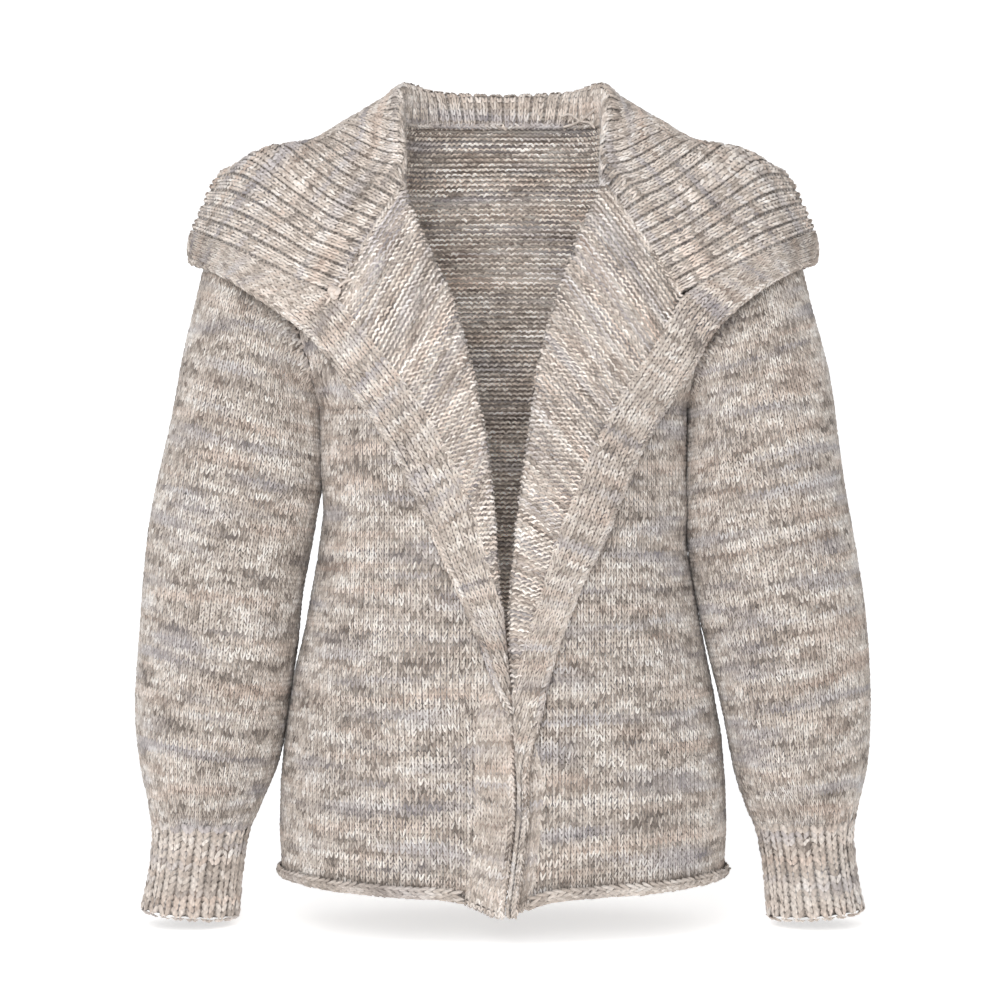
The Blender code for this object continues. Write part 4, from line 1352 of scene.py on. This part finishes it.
def ribRelief(lines, relief, taper, flip, closed=False):
    # lines along the ribs, moved out at the crests and in at the furrows
    normal = outwardOf(lines.transpose(1, 0, 2), flip, closed).transpose(1, 0, 2)
    away = np.arange(len(lines)) / rib["perRib"]
    away = np.abs(away - np.round(away))
    wave = 1 - 2 * np.exp(-((away / rib["furrow"]) ** 2))
    return lines + normal * (wave[:, None] * relief * taper)[..., None]


def ribStitches(name, lines, values, seed, flip, closed=False):
    crests = [i for i in range(len(lines)) if i % rib["perRib"] in values["crestLines"]]
    plain = ribColumns(lines, crests, values["plainHigh"], values["plainWide"], flip, closed)
    furrows = range(0, len(lines), rib["perRib"])
    shorter = lines[:, rib["barShort"] : -rib["barShort"]]
    bars = ribColumns(shorter, furrows, rib["barHigh"], rib["barWide"], flip, closed)
    plain = stitchCloud(name + "Ribs", lifted(plain, half), seed)
    bars = stitchCloud(name + "Furrows", lifted(bars, half * rib["barSunk"]), seed)
    return [knitted(plain, "rib", values["yarn"], 3), knitted(bars, "purl", furrowYarn, 4)]


# cuffs
cuff = {
    "seed": {-1: 34.0, 1: 38.5},
    "ribs": 20,
    "points": 26,
    "relief": 0.0013,
    "topRelief": 0.75,  # how much of it is left at the sleeve
    "crestLines": (5,),
    "yarn": cuffYarn,
    "plainHigh": 0.0056,
    "plainWide": 0.88,
    # painted shade on the ground between its ribs
    "shadeUnderStitches": 0.5,
    "over": (0.2132, -0.5922, 0.2940, -0.5902, -0.015, 0.0395),  # ring on the sleeve that its stitches reach
    "stand": 0.0008,  # how far they stand off there
    "lip": 0.0022,  # radius of its lower edge
    "held": "draped",
    "flat": (0.26, 0.075),
    "area": 0.019,
}


def makeCuff(side):
    name = "cuff" + sideNames[side]
    seed = cuff["seed"][side]
    turn = np.linspace(0, 2 * np.pi, cuff["ribs"] * rib["perRib"], endpoint=False)
    rings = np.array([ring(row, turn) for row in cuffTable])
    lines = mirrored([through(rings[::-1, j], cuff["points"]) for j in range(len(turn))], side)
    taper = np.linspace(1, cuff["topRelief"], cuff["points"])
    lines = ribRelief(lines, cuff["relief"], taper, side, closed=True)
    shell = lines[::2].transpose(1, 0, 2)
    wall = wallOf(shell, seed, closed=True, flip=side, shadeUnderStitches=(cuff["shadeUnderStitches"], 0.0))
    lip = lipOf(lines[:, 0], lines[:, 2], unit(lines[:, 0] - lines[:, 0].mean(0)), cuff["lip"])
    top = mirrored(ring(cuff["over"], turn), side)
    top = top + unit((top - top.mean(0)) * [1, 1, 0]) * cuff["stand"]
    nearTop = (lines[:, -1] + top * 2) / 3
    lines = np.concatenate([np.stack(lip, 1), lines, nearTop[:, None], top[:, None]], 1)
    pieces = ribStitches(name, lines, cuff, seed, side, closed=True)
    return clothPiece(name, [wall], ground), pieces


# collar: one ribbed panel, a stand that folds over into a deep fall
collar = {
    "seed": 41.0,
    "ribs": 27,  # in each half
    "relief": 0.0013,
    # how much of the relief there is, from the neck seam outwards
    "taper": ((0.0, 0.3), (0.08, 1.0), (0.8, 1.0), (1.0, 0.35)),
    "foldAt": 0.18,  # where the fold lies behind the neck, its reach, and how much less the ribs stand on it
    "foldReach": 0.07,
    "foldOut": 0.092,
    "foldLess": 0.4,
    "crestLines": (3, 7),
    "yarn": collarYarn,
    "plainHigh": 0.0052,
    "plainWide": 0.40,
    # painted shade on the ground between its ribs
    "shadeUnderStitches": 0.55,
    "lip": 0.0022,
    "points": 44,
    "seamOff": 0.0016,
    "seamFacing": (0.0, -1.0, 0.25),
    "seamWide": 0.0052,
    "seamHigh": 0.0046,
    "held": "draped",
    "flat": (0.82, 0.24),
    "area": 0.16,
}


def collarLines():
    halves = []
    for side in (-1, 1):
        lines = mirrored(collarRibLines(side, collar["ribs"], rib["perRib"], collar["points"]), side)
        halves.append(lines if side < 0 else lines[::-1][1:])
    lines = np.concatenate(halves)
    share = np.linspace(0, 1, collar["points"])
    onFold = np.exp(-(((share - collar["foldAt"]) / collar["foldReach"]) ** 2))
    onFold = onFold * (np.abs(lines[..., 0]) < collar["foldOut"])
    taper = tableAt(collar["taper"], 1, share) * (1 - collar["foldLess"] * onFold)
    return ribRelief(lines, collar["relief"], taper, 1)


def makeCollar():
    lines = collarLines()
    outward = outwardOf(lines.transpose(1, 0, 2))[-1]
    lip = lipOf(lines[:, -1], lines[:, -2], outward, collar["lip"])[::-1]
    ribs = np.concatenate([lines, np.stack(lip, 1)], 1)
    pieces = ribStitches("collar", ribs, collar, collar["seed"], 1)
    seams = []
    for side in (-1, 1):
        seam = mirrored(neckSeam(side), side)
        outward = np.tile(collar["seamFacing"], (len(seam), 1))
        seams.append((seam + outward * collar["seamOff"], outward))
    seam = chainCloud("collarSeam", seams, collar["seamWide"], collar["seamHigh"], collar["seed"] + 1)
    pieces.append(knitted(seam, "chain", chainYarn, 7))
    shell = lines[::2].transpose(1, 0, 2)
    wall = wallOf(shell, collar["seed"], shadeUnderStitches=(collar["shadeUnderStitches"], 0.0))
    return clothPiece("collarPanel", [wall], ground), pieces


# bands: knitted double along each front edge, from the collar's tip to the hem
band = {
    "seed": {-1: 51.0, 1: 57.0},
    "wall": 0.0022,
    "stitches": 7,  # across it
    "points": 15,
    "corner": 0.012,  # radius of the corner at the collar's tip
    "lip": 0.0020,
    "step": 0.003,  # of its rows down the front edge
    "end": 0.0035,  # radius of the turned lower end
    "endTurns": (0, 0.6, 1.2, 1.8, 2.4),
    "tipRows": 25,
    "tipIn": 0.03,  # how far in they start, as a share of their width
    "smooth": 14,  # rounds of smoothing where the tip runs into the lapel's edge
    "smoothed": (-13, 21),  # rows on both sides of that place
    "rise": 0.0015,
    "edgeIn": 0.0008,
    "edgeOut": 0.6,  # how much its two edge chains face outwards
    "edgeWide": 0.0056,
    "edgeHigh": 0.0046,
    "held": "draped",
    "flat": (0.04, 0.70),
    "area": 0.025,
}


def bandRows(side, collarFront):
    # rows of points from the seam to the free edge, at even steps along the band
    shares = np.linspace(0, 1, band["points"])[:, None]
    strip = []
    seam = atShares(collarFront[::-1], np.linspace(0, 1, band["tipRows"] + 1)[:-1])
    edge = through(bandTip, band["tipRows"])
    short = np.clip(1 - runOf(edge) / band["corner"], 0, 1)[:, None]
    short = band["corner"] * (1 - np.sqrt(1 - short**2)) / lengthOf(edge - seam)
    for a, b, less in zip(seam, edge, short):
        strip.append(a + (b - a) * (band["tipIn"] + (1 - band["tipIn"] - less) * shares))
    for z in np.arange(edgeTable[side][0][1], form["hemZ"], -band["step"]):
        edge = edgeAt(side, z)
        strip.append(turnedPoints(edge, edge["lapel"] + edge["band"] * shares[:, 0]))
    end = strip[-1] - [0, 0, band["step"]]
    for angle in band["endTurns"]:
        strip.append(end + [0, band["end"] * (1 - math.cos(angle)), -band["end"] * math.sin(angle)])
    strip = np.array(strip)
    first, last = (band["tipRows"] + reach for reach in band["smoothed"])
    for k in range(band["smooth"]):
        near = strip[first - 1 : last - 1] + strip[first:last] * 2 + strip[first + 1 : last + 1]
        strip[first:last] = near / 4
    run = runOf(strip[:, band["points"] // 2])
    rows = np.arange(0, run[-1], knit["rowHigh"])
    number = np.interp(rows, run, np.arange(len(run)))
    low = np.minimum(number.astype(int), len(run) - 2)
    share = (number - low)[:, None, None]
    return strip[low] * (1 - share) + strip[low + 1] * share


def makeBand(side, collarFront):
    name = "band" + sideNames[side]
    seed = band["seed"][side]
    rows = np.array(placed(list(bandRows(side, collarFront)), side))
    shares = (np.arange(band["stitches"]) + 0.5) / band["stitches"]
    normal = outwardOf(rows, -side)
    tip = lipOf(rows[0], rows[1], normal[0], band["lip"])
    place = np.array([atShares(row, shares) for row in [*tip, *rows]])
    grid = withFrames({"place": place}, -side)
    wall = band["wall"] / 2
    pieces = []
    for over, label in ((False, "Plain"), (True, "PlainUnder")):
        cloud = stitchCloud(name + label, lifted(grid, wall, over=over), seed)
        pieces.append(knitted(cloud, "plain", bandYarn, 3 + over, Rise=band["rise"]))
    outward = unit(rows[:, -1] - rows[:, -2])
    paths = []
    for way in (1, -1):  # one chain along each face of the free edge
        edge = rows[:, -1] - outward * band["edgeIn"] + way * normal[:, -1] * wall
        paths.append((edge, way * normal[:, -1] + band["edgeOut"] * outward))
    chain = chainCloud(name + "Edge", paths, band["edgeWide"], band["edgeHigh"], seed)
    pieces.append(knitted(chain, "chain", chainYarn, 7))
    return clothPiece(name, [wallOf(rows[::2], seed, band["wall"], flip=-side)], ground), pieces


# loose yarn: the knot at the right notch and the two ends left at the back neck
loose = {
    "thick": 0.0011,
    "knotThick": 0.0021,
    "knotWide": 0.0040,
    "knotOff": 0.0068,  # in front of the notch
    "tails": (  # from the notch: out, y and height
        ((0.003, 0.0, 0.004), (0.009, 0.002, 0.009), (0.016, 0.003, 0.011)),
        ((-0.003, 0.0, -0.004), (-0.007, 0.001, -0.010)),
    ),
    "endsOff": 0.0052,  # in front of the neck seam
    "ends": (  # out and height
        ((0.050, 0.0115), (0.058, 0.0125), (0.066, 0.0060), (0.074, 0.0030), (0.079, -0.0030)),
        ((0.052, 0.0020), (0.060, 0.0035), (0.068, 0.0065), (0.074, 0.0100), (0.080, 0.0140)),
    ),
    "sides": 8,
    "taper": 0.003,  # length over which an end thickens,
    "thinEnd": 0.35,  # from this share
    "aside": (0.31, -0.88, 0.35),  # a direction that no route follows
    "row": 4.5,
    "legWide": 0.25,
    "legs": 90,  # repeats of the ply's look a metre
}


def yarnTube(name, routes, thickest, seed):
    # round yarn with tapered ends along each route
    sides = loose["sides"]
    turn = np.linspace(0, 2 * math.pi, sides, endpoint=False)[:, None]
    points = []
    faces = []
    marks = []
    legAt = []
    for route in routes:
        ahead = np.gradient(route, axis=0)
        aside = unit(np.cross(ahead, loose["aside"]))[:, None]
        top = unit(np.cross(aside[:, 0], ahead))[:, None]
        run = runOf(route)
        toEnd = np.minimum(run, run[-1] - run)
        thick = thickest * np.clip(loose["thinEnd"] + toEnd / loose["taper"], 0, 1)
        base = sum(len(p) for p in points)
        around = np.cos(turn) * aside + np.sin(turn) * top
        points.append((route[:, None] + around * thick[:, None, None]).reshape(-1, 3))
        along = np.repeat(run, sides)
        same = np.ones(len(along))
        marks.append(np.stack([along, same * loose["row"], same * seed], 1))
        acrossLeg = np.tile(np.cos(turn[:, 0]) * loose["legWide"], len(run))
        legAt.append(np.stack([acrossLeg, along * loose["legs"], same], 1))
        last = base + (len(run) - 1) * sides
        for here in range(base, last, sides):
            for j in range(sides):
                after = (j + 1) % sides
                faces.append([here + j, here + sides + j, here + sides + after, here + after])
        faces.append([base + j for j in range(sides)])
        faces.append([last + j for j in reversed(range(sides))])
    mesh = newMesh(name, np.concatenate(points).tolist(), faces, looseYarn)
    setVectors(mesh, "knitAt", np.concatenate(marks))
    setVectors(mesh, "legAt", np.concatenate(legAt))
    return ownPiece(name, mesh)


def makeLooseYarn():
    notch = mirrored(neckSeam(-1)[0], -1) - [0, loose["knotOff"], 0]
    t = np.linspace(0, 2 * math.pi, 70)  # once round a trefoil knot
    knot = np.stack([np.sin(t) + 2 * np.sin(2 * t), -1.3 * np.sin(3 * t), np.cos(t) - 2 * np.cos(2 * t)], 1)
    tails = [through(notch + np.array(tail), 16) for tail in loose["tails"]]
    pieces = [
        yarnTube("notchKnot", [notch + knot / 3 * loose["knotWide"]], loose["knotThick"], 61.0),
        yarnTube("notchKnotEnds", tails, loose["thick"], 62.0),
    ]
    ends = []
    for path in loose["ends"]:
        out, z = np.array(path).T
        y = bodyY(1, out, topZ(1, out)) - loose["endsOff"]
        ends.append(through(np.stack([out, y, z], 1), 30))
    pieces.append(yarnTube("neckYarnEnds", ends, loose["thick"], 63.0))
    return pieces


# making every piece
def declared(pieces, node, values, flat=None, area=None):
    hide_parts(node)
    flat = flat or values["flat"]
    area = area or values["area"]


cloth, pieces = makeBack()
declared(pieces, "back", back)
cloth, pieces = makeCollar()
declared(pieces + makeLooseYarn(), "collar", collar)
for side in (-1, 1):
    end = nodeSides[side]
    cloth, pieces = makeFront(side)
    declared(pieces, "front_" + end, front, front["flat"][side], front["area"][side])
    cloth, pieces = makeSleeve(side)
    declared(pieces, "sleeve_" + end, sleeve)
    cloth, pieces = makeCuff(side)
    declared(pieces, "cuff_" + end, cuff)
    ribs = collarRibLines(side, collar["ribs"], rib["perRib"], collar["points"])
    cloth, pieces = makeBand(side, ribs[0])
    declared(pieces, "band_" + end, band)
    print("made the", end, "side")

# studio
studio = {
    "eye": (0.00085, -2.0, -0.325),
    "lens": 84.03,
    "floor": "#f6f6f6",
    "floorBelow": 0.004,
    "floorFrom": -3.0,
    "floorTo": 2.8,
    "floorHalf": 4.0,
    "sweep": 0.9,  # radius of the backdrop's turn upwards
    "sweepHigh": 4.0,
    "glow": 0.57,  # backdrop paper lit from behind, as on a light table, so that shadows stay faint
    "aim": (0, 0, -0.3),
    "lamps": {  # place, size in metres, power in watts
        "key": ((-0.5, -1.6, 1.5), 1.4, 13.0),
        "fill": ((-0.30, -2.3, 0.35), 1.2, 20.0),
    },
    "world": 0.37,
}
camera = linked("camera", bpy.data.cameras.new("camera"))
camera.location = studio["eye"]
camera.rotation_euler = (math.pi / 2, 0, 0)
camera.data.lens = studio["lens"]
camera.data.sensor_width = 36
bpy.context.scene.camera = camera
bpy.context.scene.view_settings.view_transform = "Standard"

# a paper floor that sweeps up behind, smooth and matt, which the eye sees as plain white
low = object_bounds()[0][2] - studio["floorBelow"]
radius = studio["sweep"]
sweep = [(studio["floorFrom"], low), (studio["floorTo"], low)]
for angle in np.linspace(0, math.pi / 2, 14)[1:]:
    sweep.append((studio["floorTo"] + radius * math.sin(angle), low + radius * (1 - math.cos(angle))))
sweep.append((studio["floorTo"] + radius, low + studio["sweepHigh"]))
points = [(x, y, z) for y, z in sweep for x in (-studio["floorHalf"], studio["floorHalf"])]
faces = [(2 * k, 2 * k + 1, 2 * k + 3, 2 * k + 2) for k in range(len(sweep) - 1)]
floorPaper = bpy.data.materials.new("white backdrop paper")
floorPaper.use_nodes = True
paper = {"Base Color": linear(studio["floor"]), "Roughness": 0.9}
paper.update({"Emission Color": (1, 1, 1, 1), "Emission Strength": studio["glow"]})
for label, value in paper.items():
    floorPaper.node_tree.nodes["Principled BSDF"].inputs[label].default_value = value
floor = linked("floor", newMesh("floor", points, faces, floorPaper))

world = bpy.data.worlds.new("studio")
bpy.context.scene.world = world
world.use_nodes = True
world.node_tree.nodes["Background"].inputs["Color"].default_value = (1, 1, 1, 1)
# white to the camera all round, and dimmer as a light
onCamera = addNode(world.node_tree, "ShaderNodeLightPath", out="Is Camera Ray")
strength = [onCamera, 1 - studio["world"], studio["world"]]
strength = addNode(world.node_tree, "ShaderNodeMath", strength, operation="MULTIPLY_ADD")
world.node_tree.links.new(strength, world.node_tree.nodes["Background"].inputs["Strength"])

for name, (place, size, power) in studio["lamps"].items():
    lamp = linked(name, bpy.data.lights.new(name, "AREA"))
    lamp.data.size = size
    lamp.data.energy = power
    lamp.location = place
    x, y, z = np.array(studio["aim"]) - np.array(place)
    lamp.rotation_euler = (math.atan2(math.hypot(x, y), -z), 0, math.atan2(y, x) - math.pi / 2)
print("lit the studio")
